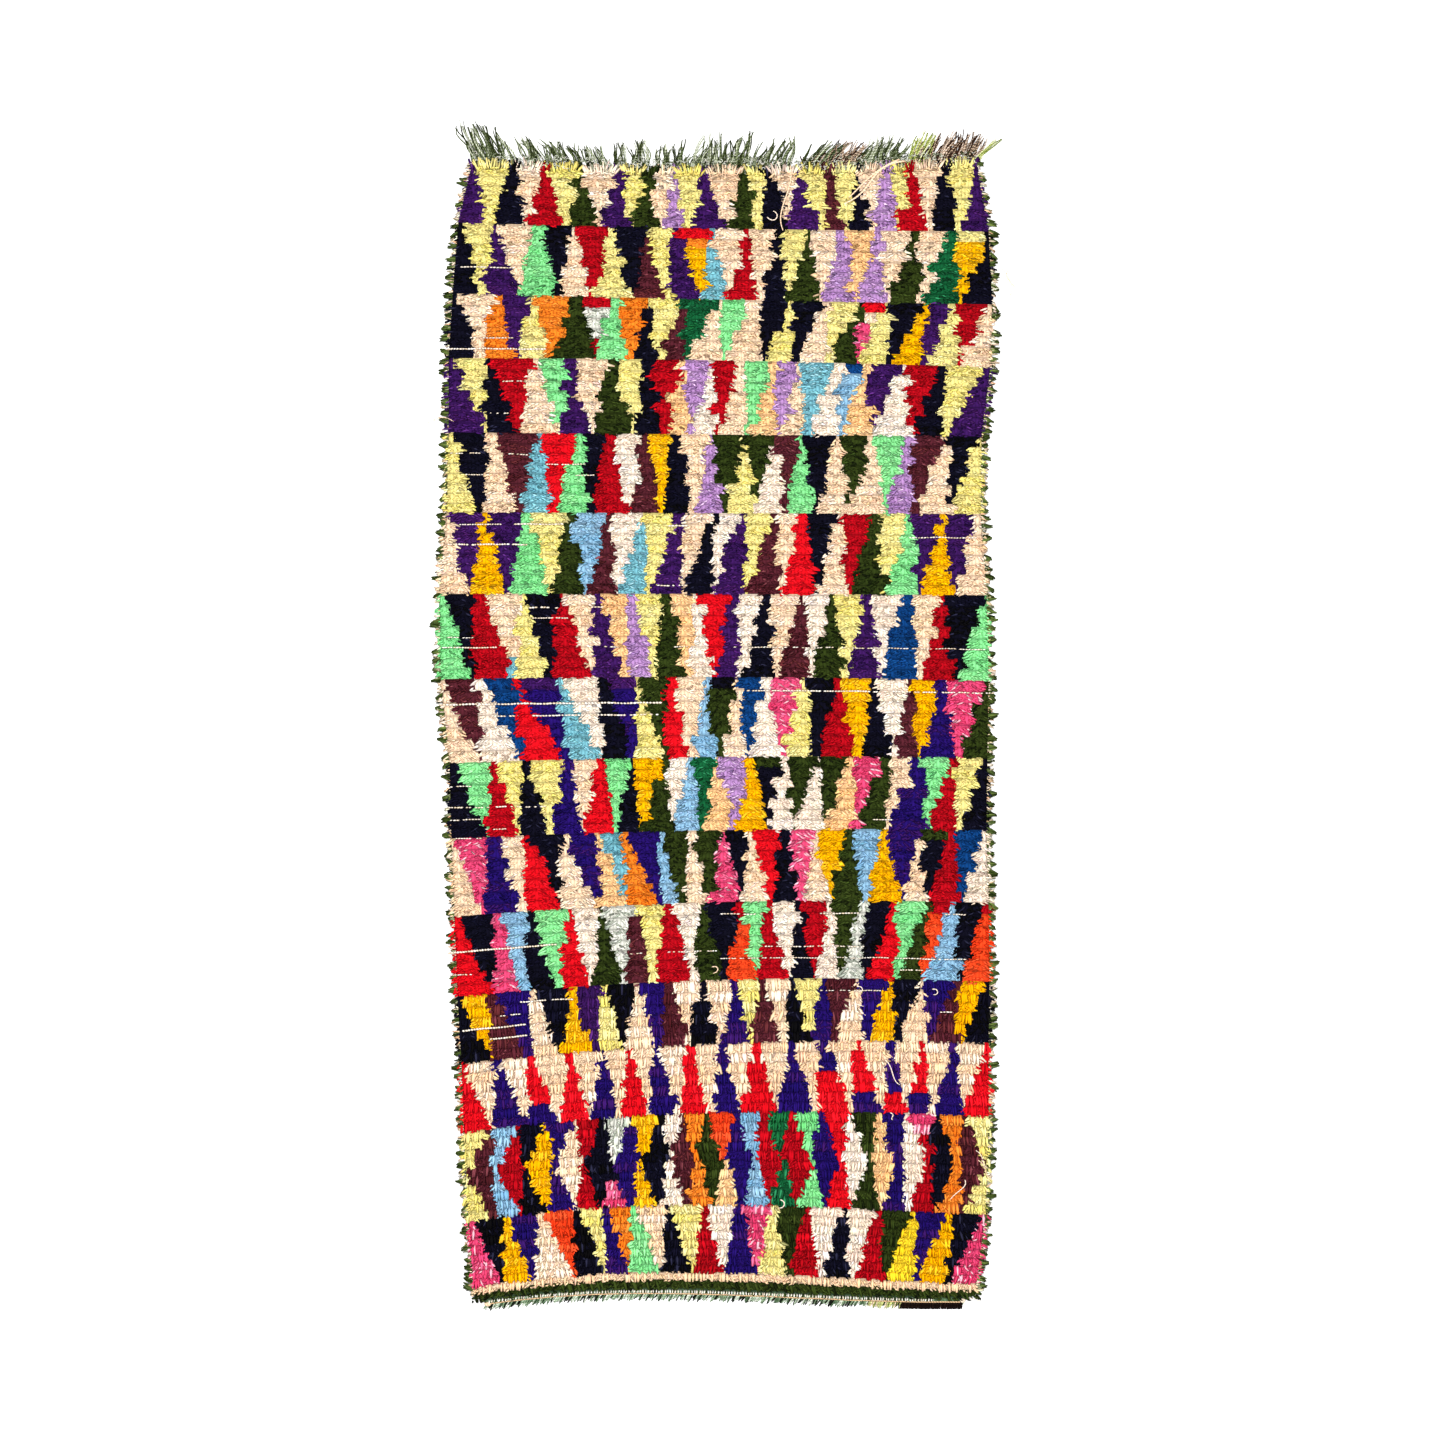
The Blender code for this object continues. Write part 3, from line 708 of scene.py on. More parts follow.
def plan_row(row, rng):
    """Where the strands of one row of knots stand, how they meet its borders, and which of them are laid.

    across is a strand's share of the rug's width and place the same in millimetres. outward runs from -1 at
    its wedge's left limit to 1 at the right one. border is the nearest limit, toward the side on which that
    lies, and brush falls from 1 there to 0 at BRUSH from it. over is brush, with a plus where the strand's
    own side crosses the border and a minus where the other side does.
    """
    left, right, *_ = cloth_line(row)
    width = right - left
    count = int(round(width / STRAND_PITCH))
    across = (np.arange(count) + 0.5 + rng.uniform(-STRAND_JITTER, STRAND_JITTER, count)) / count
    strip, letters, limits = row_wedges(row)
    wedge = np.searchsorted(limits[1:-1], across)
    limits = limits * width
    place = across * width
    outward = (2 * place - limits[wedge] - limits[wedge + 1]) / (limits[wedge + 1] - limits[wedge])
    border = wedge + (outward > 0)
    toward = np.where(outward > 0, 1.0, -1.0)
    crossing = rng.choice((-1.0, 1.0), len(limits))
    crossing[[0, -1]] = (-1, 1)
    brush = np.maximum(1 - np.abs(place - limits[border]) / BRUSH, 0)
    over = brush * crossing[border] * toward
    knot, order = np.divmod(np.arange(count) + rng.integers(STRANDS_IN_KNOT), STRANDS_IN_KNOT)
    laid_share = np.interp(strip.splay, LAID_SPLAY, LAID_SHARE)
    laid = (rng.random(count) < np.maximum(laid_share, BORDER_LAID * brush)).astype(float)
    return RowPlan(strip, letters, limits, crossing, across, wedge, place, outward, border, toward, brush,
                   over, knot, order, laid)


def combed_strands(plan, row, rng):
    """Start, end and sideways lean of each strand of a row if it is combed.

    It begins at its knot, rises, bends over towards the near end and ends over the next row: its y falls by
    STRAND_REACH rows. At the border that its side crosses it leans over it.
    """
    count = len(plan.knot)
    start = STRAND_START if row > 0 else 0.0
    of_knot, of_strand = REACH_SPREAD
    reach = (STRAND_REACH + rng.normal(0, of_knot, plan.knot[-1] + 1)[plan.knot]
             + rng.normal(0, of_strand, count))
    of_wedge, of_strand = COMBED_SWAY
    sway = rng.normal(0, of_wedge, len(plan.letters))[plan.wedge] + rng.normal(0, of_strand, count)
    return start, start - reach, sway + COMBED_BULGE * np.maximum(plan.over, 0) * plan.toward


def laid_strands(plan, depth, rng):
    """Start, end and sideways lean of each strand of a row if it is laid, where rows are depth apart.

    It stays inside its own row: the three of a knot begin one below another and lie aslant to the left or
    right, y falling by a part of their length. At each border the crossing side's strands fill a leaf, a
    triangle with its tip at a random height and distance over the border, and the other side's stop short
    of it.
    """
    strip, limits, toward = plan.strip, plan.limits, plan.toward
    count = len(plan.place)
    start = -LAID_DEPTH * (plan.order + 0.5 + rng.uniform(-0.5, 0.5, count)) / STRANDS_IN_KNOT
    length = rng.uniform(*LAID_LENGTH, count)
    steepness = np.interp(strip.splay, STEEP_SPLAY, STEEPNESS)
    end = np.maximum(start - length * rng.uniform(*LAID_FALL, count) * steepness / depth, LAID_LOWEST)
    chance, more = OUTWARD_CHANCE
    outwards = (rng.random(count) < chance + more * np.abs(plan.outward)) | (plan.brush > 0)
    loose = np.interp(strip.splay, LAID_SPLAY, LOOSENESS)
    target = plan.place + np.where(outwards, toward, -toward) * length * loose
    tip_distance = rng.uniform(*LEAF_REACH, len(limits)) * np.interp(strip.splay, SHAGGY_SPLAY, LEAF_LONGER)
    tip = rng.uniform(*LEAF_TIP, len(limits))
    end = np.where(plan.over > 0, end + LEAF_DRAW * (tip[plan.border] - end), end)
    edges = []
    for side, at in ((-1.0, plan.wedge), (1.0, plan.wedge + 1)):
        above = (end - LEAF_TOP) / (tip[at] - LEAF_TOP)
        below = (end - LEAF_FOOT) / (tip[at] - LEAF_FOOT)
        leaf = tip_distance[at] * np.clip(np.minimum(above, below), LEAF_THINNEST, 1)
        edges.append(limits[at] + side * np.where(plan.crossing[at] == side, leaf, -HELD_BACK))
    edge = np.where(toward > 0, edges[1], edges[0])
    uneven = rng.uniform(0, np.interp(strip.splay, SHAGGY_SPLAY, LEAF_EDGE), count)
    target = np.where(plan.over > 0, edge - toward * uneven, target)
    return start, end, np.clip(target, np.minimum(*edges), np.maximum(*edges)) - plan.place


def hanging_strands(plan, rng):
    """Start, end and sideways lean of strands that hang back over the far edge, fanned out in each wedge."""
    count = len(plan.place)
    end = rng.uniform(*BACK_END, count) * (1 - BACK_SHORTER * np.abs(plan.outward))
    return np.full(count, BACK_START), end, BACK_FAN * plan.outward + rng.normal(0, BACK_SWAY, count)


def strand_brightness_and_painted_shade(plan, rng):
    """How bright each strand of a row is: combed rows are brighter, and some laid strands get painted shade,
    as if they lay deep.
    """
    splay, laid = plan.strip.splay, plan.laid
    loose = np.interp(splay, LAID_SPLAY, LOOSENESS)
    shaggy = np.interp(splay, SHAGGY_SPLAY, (0.0, 1.0))
    combed_share = 1 - np.interp(splay, LAID_SPLAY, LAID_SHARE)
    any_strand, laid_strand, shaggy_strand = GLOW_SPREAD
    of_knot = rng.normal(0, KNOT_GLOW_SPREAD, plan.knot[-1] + 1)[plan.knot]
    of_strand = rng.normal(0, any_strand + laid_strand * laid * loose + shaggy_strand * shaggy)
    shaded_share = np.interp(splay, SHAGGY_SPLAY, SHADED_SHARE) * laid * loose
    # painted shade: some laid strands are darkened to SHADE
    shade = np.where(rng.random(len(laid)) < shaded_share, SHADE, 1.0)
    return (1 + COMBED_GLOW * combed_share + of_knot + of_strand) * shade


def pile_row(row, rng, back=False):
    """The strands of one row of knots: their centre lines, half sizes and colours.

    With t from 0 at the knot to 1 at the tip, x = knot + lean * t^STRAND_BEND + pinch * t^3, and y = knot +
    (start + (end - start) * t) rows. The height goes through COMBED_RISE or LAID_RISE, and higher over a
    border. back gives the strands that hang back over the far edge.
    """
    plan = plan_row(row, rng)
    depth = row_height(row)
    laid, over = plan.laid, plan.over
    ways = zip(combed_strands(plan, row, rng), laid_strands(plan, depth, rng))
    start, end, lean = (combed_way * (1 - laid) + laid_way * laid for combed_way, laid_way in ways)
    if back:
        start, end, lean = hanging_strands(plan, rng)
    x, y = cloth_point(row, plan.across)
    y = y + ROW_WAVE * wave(x, rng, ROW_WAVE_LENGTH) + rng.normal(0, np.where(laid, LAID_STRAY, COMBED_STRAY))
    plump = (1 + PLUMP_WAVE * wave(x, rng, PLUMP_WAVE_LENGTH)
             + rng.normal(0, PLUMP_SPREAD, plan.knot[-1] + 1)[plan.knot]
             + rng.normal(0, np.where(laid, LAID_PLUMP, COMBED_PLUMP)))
    t = np.array(STRAND_STEPS)[None]
    rise = np.where(laid[:, None], LAID_RISE, COMBED_RISE)
    z = rise * plump[:, None] + np.minimum(t * 2, 1) * BORDER_RISE * over[:, None]
    pinch = TIP_PINCH * (1 - plan.order) * (1 - laid)
    centres = to_frame(x[:, None] + lean[:, None] * t ** STRAND_BEND + pinch[:, None] * t ** 3,
                       y[:, None] + depth * (start[:, None] + (end - start)[:, None] * t), z)
    body = np.where(laid[:, None], np.where(over[:, None] > 0, LEAF_BODY, LAID_BODY), COMBED_BODY)
    if back:
        body[:, -1] = 1.0
    fullness = rng.uniform(*FULLNESS, len(laid)) * np.where(laid, LAID_FULLNESS, 1.0)
    body *= (fullness * (1 + LEAF_FULLER * np.maximum(over, 0) * laid))[:, None]
    glow = strand_brightness_and_painted_shade(plan, rng)
    tints = np.clip(row_tints(plan.letters, plan.wedge, rng) * glow[:, None], 0.0, 1.0)
    half_width, half_thickness = STRAND_HALF
    return centres, body * half_width * MM, body * half_thickness * MM, tints


def make_pile(material):
    """The pile, one piece for each strip of the pattern."""
    pieces = []
    first = 0
    for number, strip in enumerate(PATTERN, 1):
        rng = np.random.default_rng(SEED + number)
        rows = [pile_row(first + index, rng) for index in range(strip.rows)]
        if first == 0:
            rows.append(pile_row(0, rng, back=True))
        centres, width, thickness, tints = (np.concatenate(part) for part in zip(*rows))
        piece = sweep(f"pile_{number:02d}", centres, width, thickness, STRAND_SIDES, tints)
        pieces.append(dressed(piece, material, "rug"))
        first += strip.rows
    return pieces


def knot_tints(row, share):
    """The colour of a row's knots at each share of the width."""
    _, letters, limits = row_wedges(row)
    return np.array([linear(YARNS[letter][0]) for letter in letters])[np.searchsorted(limits[1:-1], share)]


def foundation_mesh():
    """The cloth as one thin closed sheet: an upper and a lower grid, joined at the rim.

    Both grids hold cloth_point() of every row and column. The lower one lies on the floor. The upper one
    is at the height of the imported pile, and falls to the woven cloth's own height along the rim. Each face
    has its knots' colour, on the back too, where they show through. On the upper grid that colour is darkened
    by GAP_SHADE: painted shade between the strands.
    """
    rows = np.concatenate([np.arange(PILE_ROWS + 1) + 0.0, ROW_AT_LINE[-2:] - (0.0, 0.25)])
    share = np.linspace(0, 1, FOUNDATION_COLUMNS + 1)
    x = np.array([cloth_point(row, share)[0] for row in rows])
    y = np.array([cloth_point(row, share)[1] for row in rows])
    height = np.full_like(x, PILE_BASE)
    height[[0, -1, -2]] = FOUNDATION_HEIGHT
    height[:, [0, -1]] = FOUNDATION_HEIGHT
    middle = (share[:-1] + share[1:]) / 2
    knots = np.array([knot_tints(row, middle) for row in range(PILE_ROWS)])
    # painted shade: the knots' colour on the upper grid is darkened by GAP_SHADE where it shows between
    # strands
    laid = [np.interp(row_wedges(row).strip.splay, LAID_SPLAY, GAP_SHADE) for row in range(PILE_ROWS)]
    shaded_gap_tints = (knots * np.array(laid)[:, None, None]).reshape(-1, 3)
    knots = knots.reshape(-1, 3)
    woven = np.tile(linear(RIB_YARNS["green"][1]), (2 * FOUNDATION_COLUMNS, 1))
    upper = to_frame(x, y, height).reshape(-1, 3)
    lower = to_frame(x, y, np.zeros_like(x)).reshape(-1, 3)
    high, wide = x.shape
    at = np.arange(high * wide).reshape(high, wide)
    top = np.stack([at[:-1, :-1], at[1:, :-1], at[1:, 1:], at[:-1, 1:]], axis=-1).reshape(-1, 4)
    rim = np.concatenate([at[:, 0], at[-1, 1:], at[-2::-1, -1], at[0, -2:0:-1]])
    after = np.roll(rim, -1)
    shift = high * wide
    walls = np.stack([rim, rim + shift, after + shift, after], axis=-1)
    faces = np.concatenate([top, top[:, ::-1] + shift, walls])
    mesh = bpy.data.meshes.new("foundation")
    mesh.from_pydata(np.concatenate([upper, lower]).tolist(), [], faces.tolist())
    rim_tints = np.tile(linear(RIM_YARN), (len(rim), 1))
    add_tint(mesh, "tint", np.concatenate([shaded_gap_tints, woven, knots, woven, rim_tints]), "FACE")
    groove = np.broadcast_to(rows[:, None] - GROOVE, x.shape)
    grid = np.stack([x / KNOT_WIDTH, groove], axis=-1).reshape(-1, 2)
    corners = np.empty(len(mesh.loops), dtype=np.int32)
    mesh.loops.foreach_get("vertex_index", corners)
    add_uv(mesh, "Knots", grid[corners % shift])
    return mesh


def make_foundation():
    """The foundation sheet, with a rib for each row of knots and a bead for each knot.

    rib = |sin(pi * row)| and bead = |sin(pi * x / KNOT_WIDTH)|, read from the UV map named Knots. Both
    darken the colour where they are low, as painted shade in the grooves between rows and between knots,
    and both drive the bump.
    """
    obj = bpy.data.objects.new("foundation", foundation_mesh())
    bpy.context.scene.collection.objects.link(obj)
    material, tree, shader = new_material("woven foundation", 0.95)
    uv = tree.nodes.new("ShaderNodeUVMap")
    uv.uv_map = "Knots"
    split = tree.nodes.new("ShaderNodeSeparateXYZ")
    tree.links.new(uv.outputs[0], split.inputs[0])
    angles = [calculate(tree, "MULTIPLY", place, math.pi) for place in split.outputs[:2]]
    bead, rib = (calculate(tree, "ABSOLUTE", calculate(tree, "SINE", angle)) for angle in angles)
    knot = calculate(tree, "MULTIPLY", calculate(tree, "POWER", rib, 0.5),
                     calculate(tree, "MULTIPLY_ADD", bead, 0.5, 0.5))
    # painted shade: the colour falls to 0.3 of itself in the grooves between rows and between knots
    tree.links.new(scaled(tree, attribute(tree, "tint"), calculate(tree, "MULTIPLY_ADD", knot, 0.7, 0.3)),
                   shader.inputs["Base Color"])
    bumped(tree, shader, knot, 0.8, 0.002)
    return dressed(obj, material, "rug")


def dressed(obj, material, node):
    """Give a piece its material, say what it rides on and hide the part that it replaces."""
    obj.data.materials.append(material)
    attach(obj, "root")
    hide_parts(node)
    return obj


def tints_from(codes, count, rng, spread=0.12):
    """A colour for each of a count of yarns, drawn from a few codes, with a spread of brightness."""
    colours = np.array([linear(code) for code in codes])[rng.integers(len(codes), size=count)]
    return np.clip(colours * (1 + rng.normal(0, spread, (count, 1))), 0.0, 1.0)


def edge_share(x):
    """Share of the width at an X on the far edge."""
    return (x - FAR_EDGE.left) / (FAR_EDGE.right - FAR_EDGE.left)


def make_fringe(material):
    """The warp ends: wavy strands in leaning groups, flat on the floor.

    x = root + lean * t^1.3 + sway * t * sin(2 pi (turns * t + phase)), y = root + reach * t, and the height
    falls from the root's to the strand's own level. The strands of a lock share their lean and their waves,
    each a little different, and draw halfway together.
    """
    rng = np.random.default_rng(FRINGE_SEED)
    t = np.linspace(0, 1, 9)[None]
    parts = []
    for group in FRINGE:
        count = int(round((group.end - group.start) / FRINGE_PITCH))
        root = np.linspace(group.start, group.end, count) + rng.normal(0, 1.0, count)
        lock = np.arange(count) // STRANDS_IN_LOCK
        locks = lock[-1] + 1
        middle = np.array([root[lock == one].mean() for one in range(locks)])[lock]
        shortened = rng.uniform(0.8, 1.1, locks)[lock] * rng.uniform(0.84, 1.0, count)
        reach = (group.reach + FRINGE_EXTRA) * shortened
        lean = group.lean * rng.uniform(0.6, 1.4, locks)[lock] + rng.normal(0, 2.5, count)
        sway = rng.uniform(*FRINGE_SWAY, locks)[lock] * rng.uniform(0.7, 1.3, count)
        turns = rng.uniform(*FRINGE_TURNS, locks)[lock] + rng.normal(0, 0.1, count)
        phase = rng.uniform(0, 1, locks)[lock] + rng.normal(0, 0.05, count)
        x = (root[:, None] + (middle - root)[:, None] * 0.5 * t + lean[:, None] * t ** 1.3
             + sway[:, None] * t * np.sin(2 * math.pi * (turns[:, None] * t + phase[:, None])))
        y = cloth_point(0, edge_share(root))[1][:, None] - FRINGE_ROOT + reach[:, None] * t
        level = rng.uniform(*FRINGE_LEVEL, count)[:, None]
        centres = to_frame(x, y, FRINGE_ROOT_RISE * (1 - t) ** 2 + level)
        radius = rng.uniform(*FRINGE_HALF, count)[:, None] * (1 - 0.4 * t ** 4)
        pairs = MARLS[group.marl]
        pick = rng.choice(len(pairs), count, p=MARL_CHANCE)
        glow = rng.normal(*FRINGE_GLOW, (count, 1))
        one, two = (np.array([linear(pair[side]) for pair in pairs])[pick] * glow for side in (0, 1))
        parts.append((centres, radius * MM, np.clip(one, 0, 1), np.clip(two, 0, 1)))
    centres, radius, one, two = (np.concatenate(part) for part in zip(*parts))
    return dressed(sweep("fringe_strands", centres, radius, radius, WARP_SIDES, one, two), material,
                   "fringe")


def make_tangle(material):
    """Small loops of warp yarn where the fringe leaves the cloth.

    Each is an arc: x and y turn round a centre by an angle that grows along it, and z bulges in the middle.
    """
    rng = np.random.default_rng(TANGLE_SEED)
    count = TANGLE_LOOPS
    x = rng.uniform(*TANGLE_SPAN, count)
    y = cloth_point(0, edge_share(x))[1] + TANGLE_DEPTH * rng.random(count) ** 1.3
    t = np.linspace(0, 1, 7)[None]
    angle = rng.uniform(0, 2 * math.pi, count)[:, None] + rng.uniform(*TANGLE_TURN, count)[:, None] * t
    size = rng.uniform(*TANGLE_SIZE, count)[:, None]
    z = rng.uniform(*TANGLE_LEVEL, count)[:, None] + 2.5 * np.sin(math.pi * t)
    centres = to_frame(x[:, None] + size * np.cos(angle), y[:, None] + size * 0.8 * np.sin(angle), z)
    radius = np.broadcast_to(rng.uniform(*TANGLE_HALF, count)[:, None] * MM, z.shape)
    tints = tints_from(TANGLE_YARNS, count, rng)
    tangle = sweep("fringe_tangle", centres, radius, radius, STRAND_SIDES, tints, tints * 0.8)
    return dressed(tangle, material, "fringe")


def make_side_yarn(material):
    """Yarn ends at both edges: a dark tuft at most rows, and short ends of mixed colours all along.

    The strands of a bunch start side by side inside the cloth and draw together outside it.
    """
    rng = np.random.default_rng(SIDE_SEED)
    t = np.array([0.0, 0.5, 1.0])[None]
    parts = []
    for side, share in ((-1, 0.0), (1, 1.0)):
        for ends in SIDE_ENDS:
            place = np.arange(0.0, PILE_ROWS - 1, ends.every)
            place = place + rng.uniform(0, 0.6 * ends.every, len(place))
            place = place[rng.random(len(place)) < ends.share]
            bunch = np.repeat(np.arange(len(place)), ends.strands)
            count = len(bunch)
            x, y = np.array([cloth_point(row, share) for row in place])[bunch].T
            out = rng.uniform(*ends.reach, len(place))[bunch] * rng.uniform(0.7, 1.05, count)
            tip = rng.normal(-1, 4, len(place))[bunch] + rng.normal(0, 2.4, count)
            spread = rng.uniform(-1, 1, count) * ends.spread
            reach = -3 * (1 - t) + out[:, None] * t
            z = rng.uniform(9.5, 15.5, count)[:, None] * (1 - t ** 2) + 5.5 * t ** 2 + 1.5 * t
            centres = to_frame(x[:, None] + side * reach,
                               y[:, None] + spread[:, None] * (1 - 0.8 * t) + tip[:, None] * t, z)
            body = np.array([1.0, 1.15, 0.5])[None] * rng.uniform(0.75, 1.2, count)[:, None] * ends.thick * MM
            parts.append((centres, body, body * 0.75, tints_from(ends.yarns, count, rng, 0.2)))
    centres, width, thickness, tints = (np.concatenate(part) for part in zip(*parts))
    side_yarn = sweep("side_yarn", centres, width, thickness, STRAND_SIDES, tints)
    return dressed(side_yarn, material, "rug")


def heading_point(x, below):
    """Y of the heading's line at an X, a distance below the pile's foot."""
    share = (x - HEADING_START.left) / (HEADING_START.right - HEADING_START.left)
    return cloth_point(ROW_AT_LINE[-2], share)[1] - below


def make_heading(material):
    """The twined end: slanting ribs, and pale and dark stitches by turns between them and the pile.

    Each is a straight tube that arches up: z = level + rise * sin of the way along it.
    """
    rng = np.random.default_rng(HEADING_SEED)
    parts = []
    t = np.linspace(0, 1, 4)[None]
    for ribs in HEADING_RIBS:
        count = int(round((ribs.end - ribs.start) / ribs.pitch))
        x = np.linspace(ribs.start, ribs.end, count) + rng.normal(0, 0.6, count)
        size = rng.uniform(1 - ribs.uneven, 1 + ribs.uneven * 0.3, count)
        lean = ribs.lean * rng.uniform(0.7, 1.3, count)
        y = heading_point(x, RIB_TOP)[:, None] - (RIB_LENGTH * size)[:, None] * t
        arch = RIB_LEVEL + RIB_RISE * np.sin(math.pi * (0.15 + 0.8 * t))
        z = arch + rng.uniform(-0.4, 0.6, count)[:, None]
        centres = to_frame(x[:, None] + lean[:, None] * t, y, z)
        body = np.array([0.9, 1.0, 1.0, 0.6])[None] * rng.uniform(*RIB_HALF, count)[:, None] * MM
        parts.append((centres, body, body * 0.8, tints_from(RIB_YARNS[ribs.yarns], count, rng)))
    count = STITCH_COUNT
    x = np.linspace(*STITCH_SPAN, count) + rng.normal(0, 0.7, count)
    y = heading_point(x, STITCH_TOP)[:, None] - rng.uniform(*STITCH_LENGTH, count)[:, None] * t
    lean = rng.normal(0, 1.6, count)[:, None]
    centres = to_frame(x[:, None] + lean * t, y, STITCH_LEVEL + STITCH_RISE * np.sin(math.pi * t))
    body = np.array([0.7, 1.0, 1.0, 0.7])[None] * rng.uniform(*STITCH_HALF, count)[:, None] * MM
    pale, dark = STITCH_YARNS
    tints = np.where((np.arange(count) % 2 == 0)[:, None], tints_from(pale, count, rng, 0.08),
                     tints_from(dark, count, rng))
    parts.append((centres, body, body, tints))
    centres, width, thickness, tints = (np.concatenate(part) for part in zip(*parts))
    heading = sweep("heading", centres, width, thickness, WARP_SIDES, tints, tints * 0.6)
    return dressed(heading, material, "rug")


def make_cord(material):
    """The thin tan cord along the heading: two plies wound round its line, and a knob at each end.

    Each ply lies at (across, up) = PLY_OFFSET * (cos, sin)(2 pi * x / CORD_LAY) from the line, and a knob is
    as thick as sqrt(1 - (2 t - 1)^2), an ellipse.
    """
    rng = np.random.default_rng(CORD_SEED)
    x = np.arange(*CORD_SPAN, CORD_STEP)
    y = heading_point(x, RIB_TOP) + 0.5 * wave(x, rng, 120)
    plies = []
    for turn in (0.0, math.pi):
        angle = 2 * math.pi * x / CORD_LAY + turn
        plies.append(to_frame(x, y + PLY_OFFSET * np.cos(angle), CORD_HEIGHT + PLY_OFFSET * np.sin(angle)))
    centres = np.array(plies)
    radius = np.full(centres.shape[:2], PLY_RADIUS * MM)
    tints = np.array([linear(code) for code in PLY_YARNS])
    cord = sweep("heading_cord_plies", centres, radius, radius, CORD_SIDES, tints, tints * 0.85)
    t = np.linspace(0, 1, 9)
    lines = [to_frame(knob.start + knob.length * t, heading_point(knob.read_at, knob.below), KNOB_HEIGHT)
             for knob in KNOBS]
    round_end = np.tile(np.sqrt(np.maximum(1 - (2 * t - 1) ** 2, 0.02)) * MM, (len(KNOBS), 1))
    half_width, half_height = KNOB_HALF
    tints = np.array([linear(code) for code in KNOB_YARNS])
    knobs = sweep("heading_cord_knob", np.array(lines), half_width * round_end, half_height * round_end,
                  KNOB_SIDES, tints, tints * 0.85)
    return [dressed(piece, material, "heading_cord") for piece in (cord, knobs)]


def groove_near(x, y):
    """Y of the groove between two rows that lies nearest to a line of points: just under the tips.

    The share of the width is read on WEFT_STRIP for all rows.
    """
    share = (x - WEFT_STRIP.left) / (WEFT_STRIP.right - WEFT_STRIP.left)
    grooves = np.array([cloth_point(row, share)[1] - WEFT_GROOVE * row_height(row)
                        for row in range(1, PILE_ROWS)])
    return grooves[np.argmin(np.abs(grooves - y).mean(axis=1))]


def make_wefts(material):
    """Pale weft yarns that come up between the rows, stitch by stitch.

    A stitch starts at every beat along its weft's line and covers most of the beat, slightly askew:
    z = level + rise * sin(pi t), so that its ends dip into the pile. Some stitches stay hidden.
    """
    rng = np.random.default_rng(WEFT_SEED)
    t = np.linspace(0, 1, 4)[None]
    parts = []
    for weft in WEFTS:
        beat = rng.uniform(*WEFT_BEAT)
        x = np.arange(weft.start, weft.end, beat)
        thin_shown, bold_shown = WEFT_SHOWN
        x = x[rng.random(len(x)) < (bold_shown if weft.thick > BOLD_WEFT else thin_shown)]
        count = len(x)
        straight = np.interp(x, (weft.start, weft.end), (weft.start_y, weft.end_y))
        groove = groove_near(x, straight)
        y = (1 - WEFT_PULL) * straight + WEFT_PULL * groove + 1.2 * wave(x, rng, 90)
        length = beat * rng.uniform(0.7, 1.25, count)
        slant = rng.normal(0.9, 0.7, count)
        level = WEFT_LEVEL + weft.thick + rng.normal(0, 0.4, count)[:, None]
        centres = to_frame(x[:, None] + length[:, None] * t, y[:, None] + slant[:, None] * (t - 0.5),
                           level + WEFT_RISE * np.sin(math.pi * t))
        thick = weft.thick * rng.uniform(0.95, 1.35, count)[:, None] * MM
        body = np.array([0.6, 1.0, 1.0, 0.6])[None] * thick
        parts.append((centres, body, body * 0.8, tints_from(WEFT_YARNS, count, rng, 0.08)))
    centres, width, thickness, tints = (np.concatenate(part) for part in zip(*parts))
    wefts = sweep("weft_yarns", centres, width, thickness, WARP_SIDES, tints, tints * 0.75)
    return dressed(wefts, material, "rug")


def make_loose_yarns(material):
    """Loose ends on the pile: each is the Bezier curve of its four points, and its ends dip into the pile."""
    rng = np.random.default_rng(LOOSE_SEED)
    t = np.linspace(0, 1, 24)[:, None]
    weights = np.concatenate([(1 - t) ** 3, 3 * t * (1 - t) ** 2, 3 * t ** 2 * (1 - t), t ** 3], axis=1)
    lines = np.array([weights @ np.array(loose.points, float) for loose in LOOSE])
    height = PILE_TOP + rng.uniform(-0.6, 0.8, (len(LOOSE), 1)) - 3.0 * (2 * t[:, 0] - 1)[None] ** 6
    centres = to_frame(lines[:, :, 0], lines[:, :, 1], height)
    thick = np.array([loose.thick for loose in LOOSE])[:, None] * (1 - 0.3 * t[:, 0][None] ** 4) * MM
    tints = np.array([linear(YARNS[loose.yarn][0]) for loose in LOOSE])
    return dressed(sweep("loose_yarns", centres, thick, thick, CORD_SIDES, tints, tints * 0.85), material,
                   "rug")


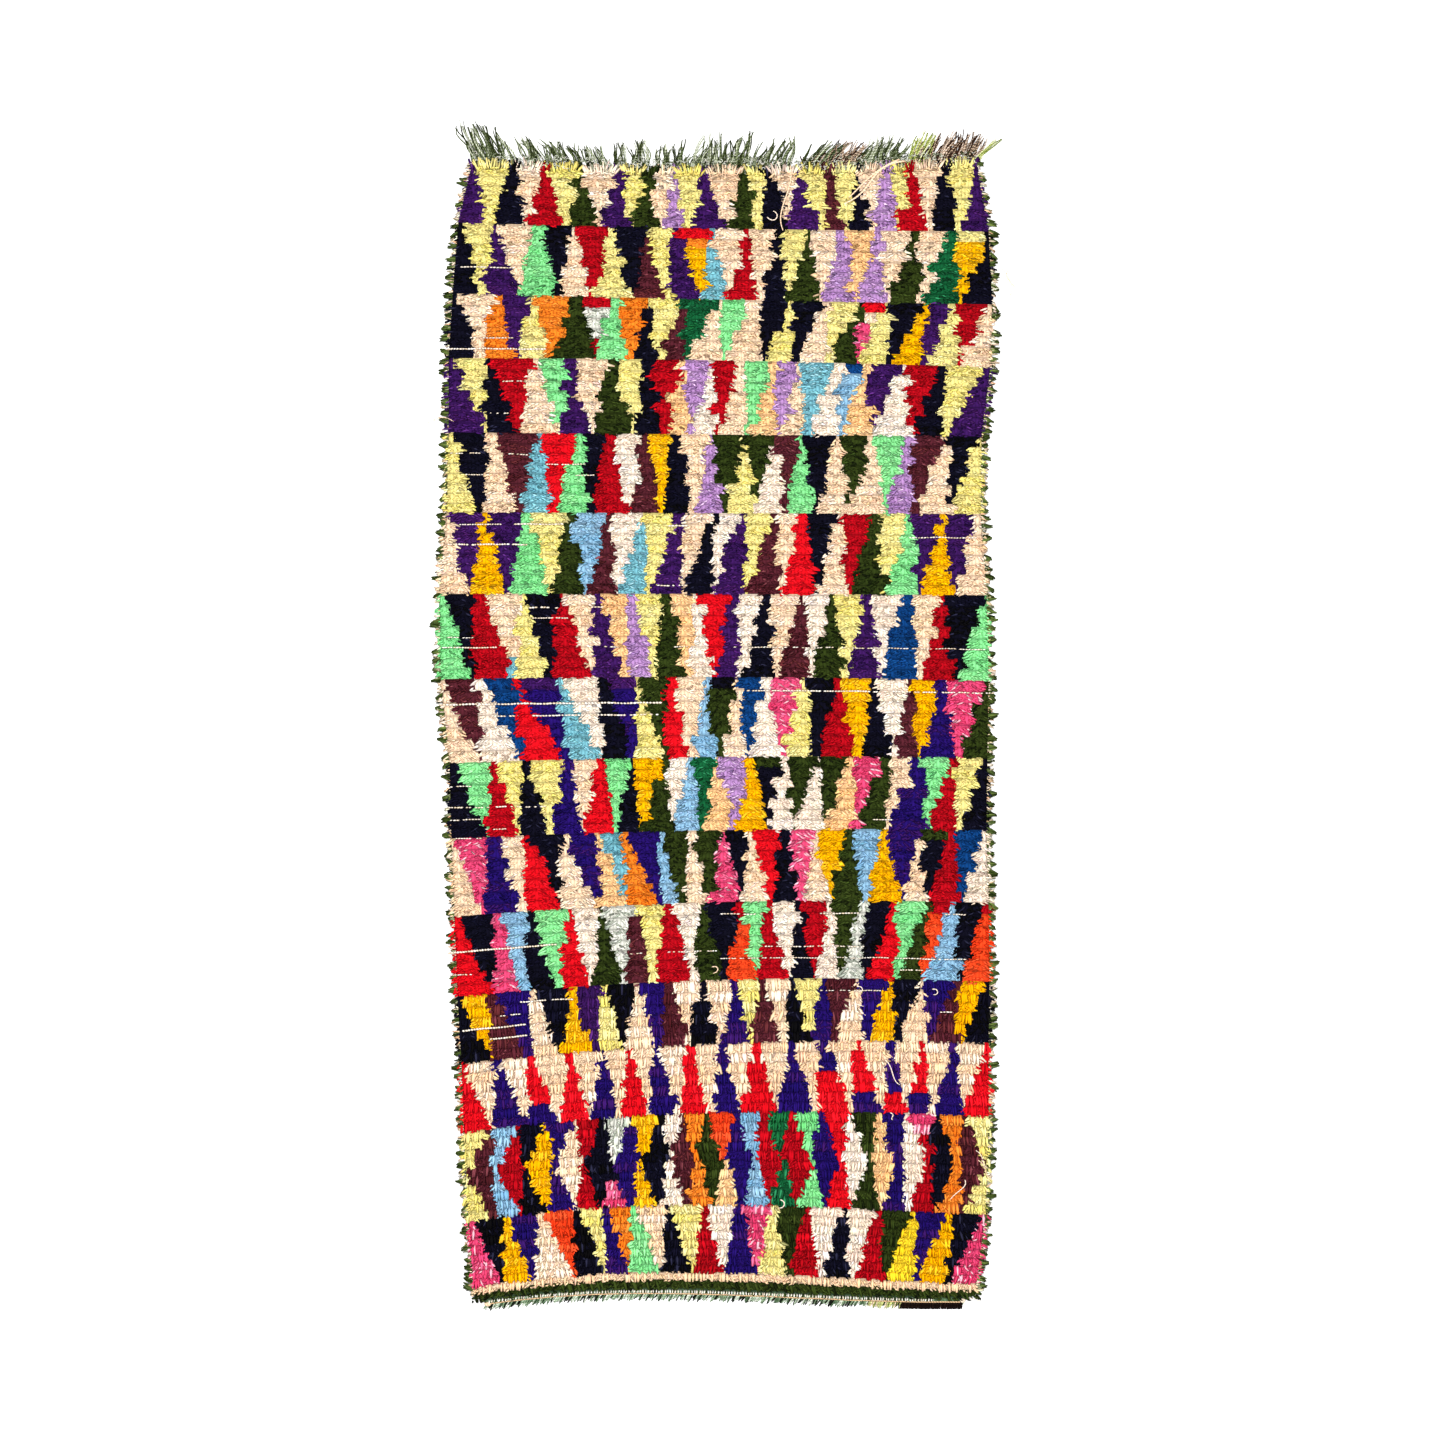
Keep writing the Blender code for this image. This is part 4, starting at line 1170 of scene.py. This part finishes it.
def add_camera():
    """Straight above the photo's middle, so far that the lens takes in the photo's width of floor."""
    data = bpy.data.cameras.new("camera")
    data.lens = LENS
    data.sensor_width = SENSOR
    camera = bpy.data.objects.new("camera", data)
    distance = PHOTO_WIDTH * LENS / SENSOR
    camera.location = (DRAWN_TO_FRAME[0] * MM, DRAWN_TO_FRAME[1] * MM, distance + PILE_TOP * MM)
    bpy.context.scene.collection.objects.link(camera)
    bpy.context.scene.camera = camera


def add_light(name, energy, size, location):
    """A soft square light that looks at the rug's middle."""
    data = bpy.data.lights.new(name, "AREA")
    data.energy = energy
    data.size = size
    light = bpy.data.objects.new(name, data)
    light.location = location
    direction = np.array(location) * -1
    light.rotation_euler = (math.atan2(math.hypot(direction[0], direction[1]), -direction[2]), 0,
                            math.atan2(direction[0], -direction[1]) + math.pi)
    bpy.context.scene.collection.objects.link(light)


def make_studio():
    """A pale floor, an even pale surround and two large soft lights."""
    mesh = bpy.data.meshes.new("floor")
    corners = [(x * FLOOR_HALF, y * FLOOR_HALF, 0) for x, y in ((-1, -1), (1, -1), (1, 1), (-1, 1))]
    mesh.from_pydata(corners, [], [(0, 1, 2, 3)])
    floor = bpy.data.objects.new("floor", mesh)
    bpy.context.scene.collection.objects.link(floor)
    material, _, shader = new_material("pale floor", 0.8)
    shader.inputs["Base Color"].default_value = (FLOOR_TONE, FLOOR_TONE, FLOOR_TONE, 1)
    mesh.materials.append(material)
    world = bpy.data.worlds.new("surround")
    bpy.context.scene.world = world
    world.use_nodes = True
    background = world.node_tree.nodes["Background"]
    background.inputs["Color"].default_value = (1, 1, 1, 1)
    background.inputs["Strength"].default_value = SURROUND
    add_light("key", 352, 2.0, (-0.5, 0.8, 5.2))
    add_light("fill", 96, 3.0, (1.2, -1.8, 5.0))
    bpy.context.scene.view_settings.view_transform = "Standard"


add_camera()
make_studio()
twisted_yarn = twisted_yarn_group()
pile_yarn = yarn_material("pile yarn", twisted_yarn, plies=5.0, turns=0.3, groove=0.22, fibre=0.4)
marl_yarn = yarn_material("marl yarn", twisted_yarn, plies=2.0, turns=1.4, groove=0.35, fibre=0.4,
                          two_tone=True)
foundation = make_foundation()
pieces = [*make_pile(pile_yarn), make_fringe(marl_yarn), make_tangle(marl_yarn), make_side_yarn(pile_yarn),
          make_heading(marl_yarn), *make_cord(marl_yarn), make_wefts(marl_yarn), make_loose_yarns(marl_yarn)]
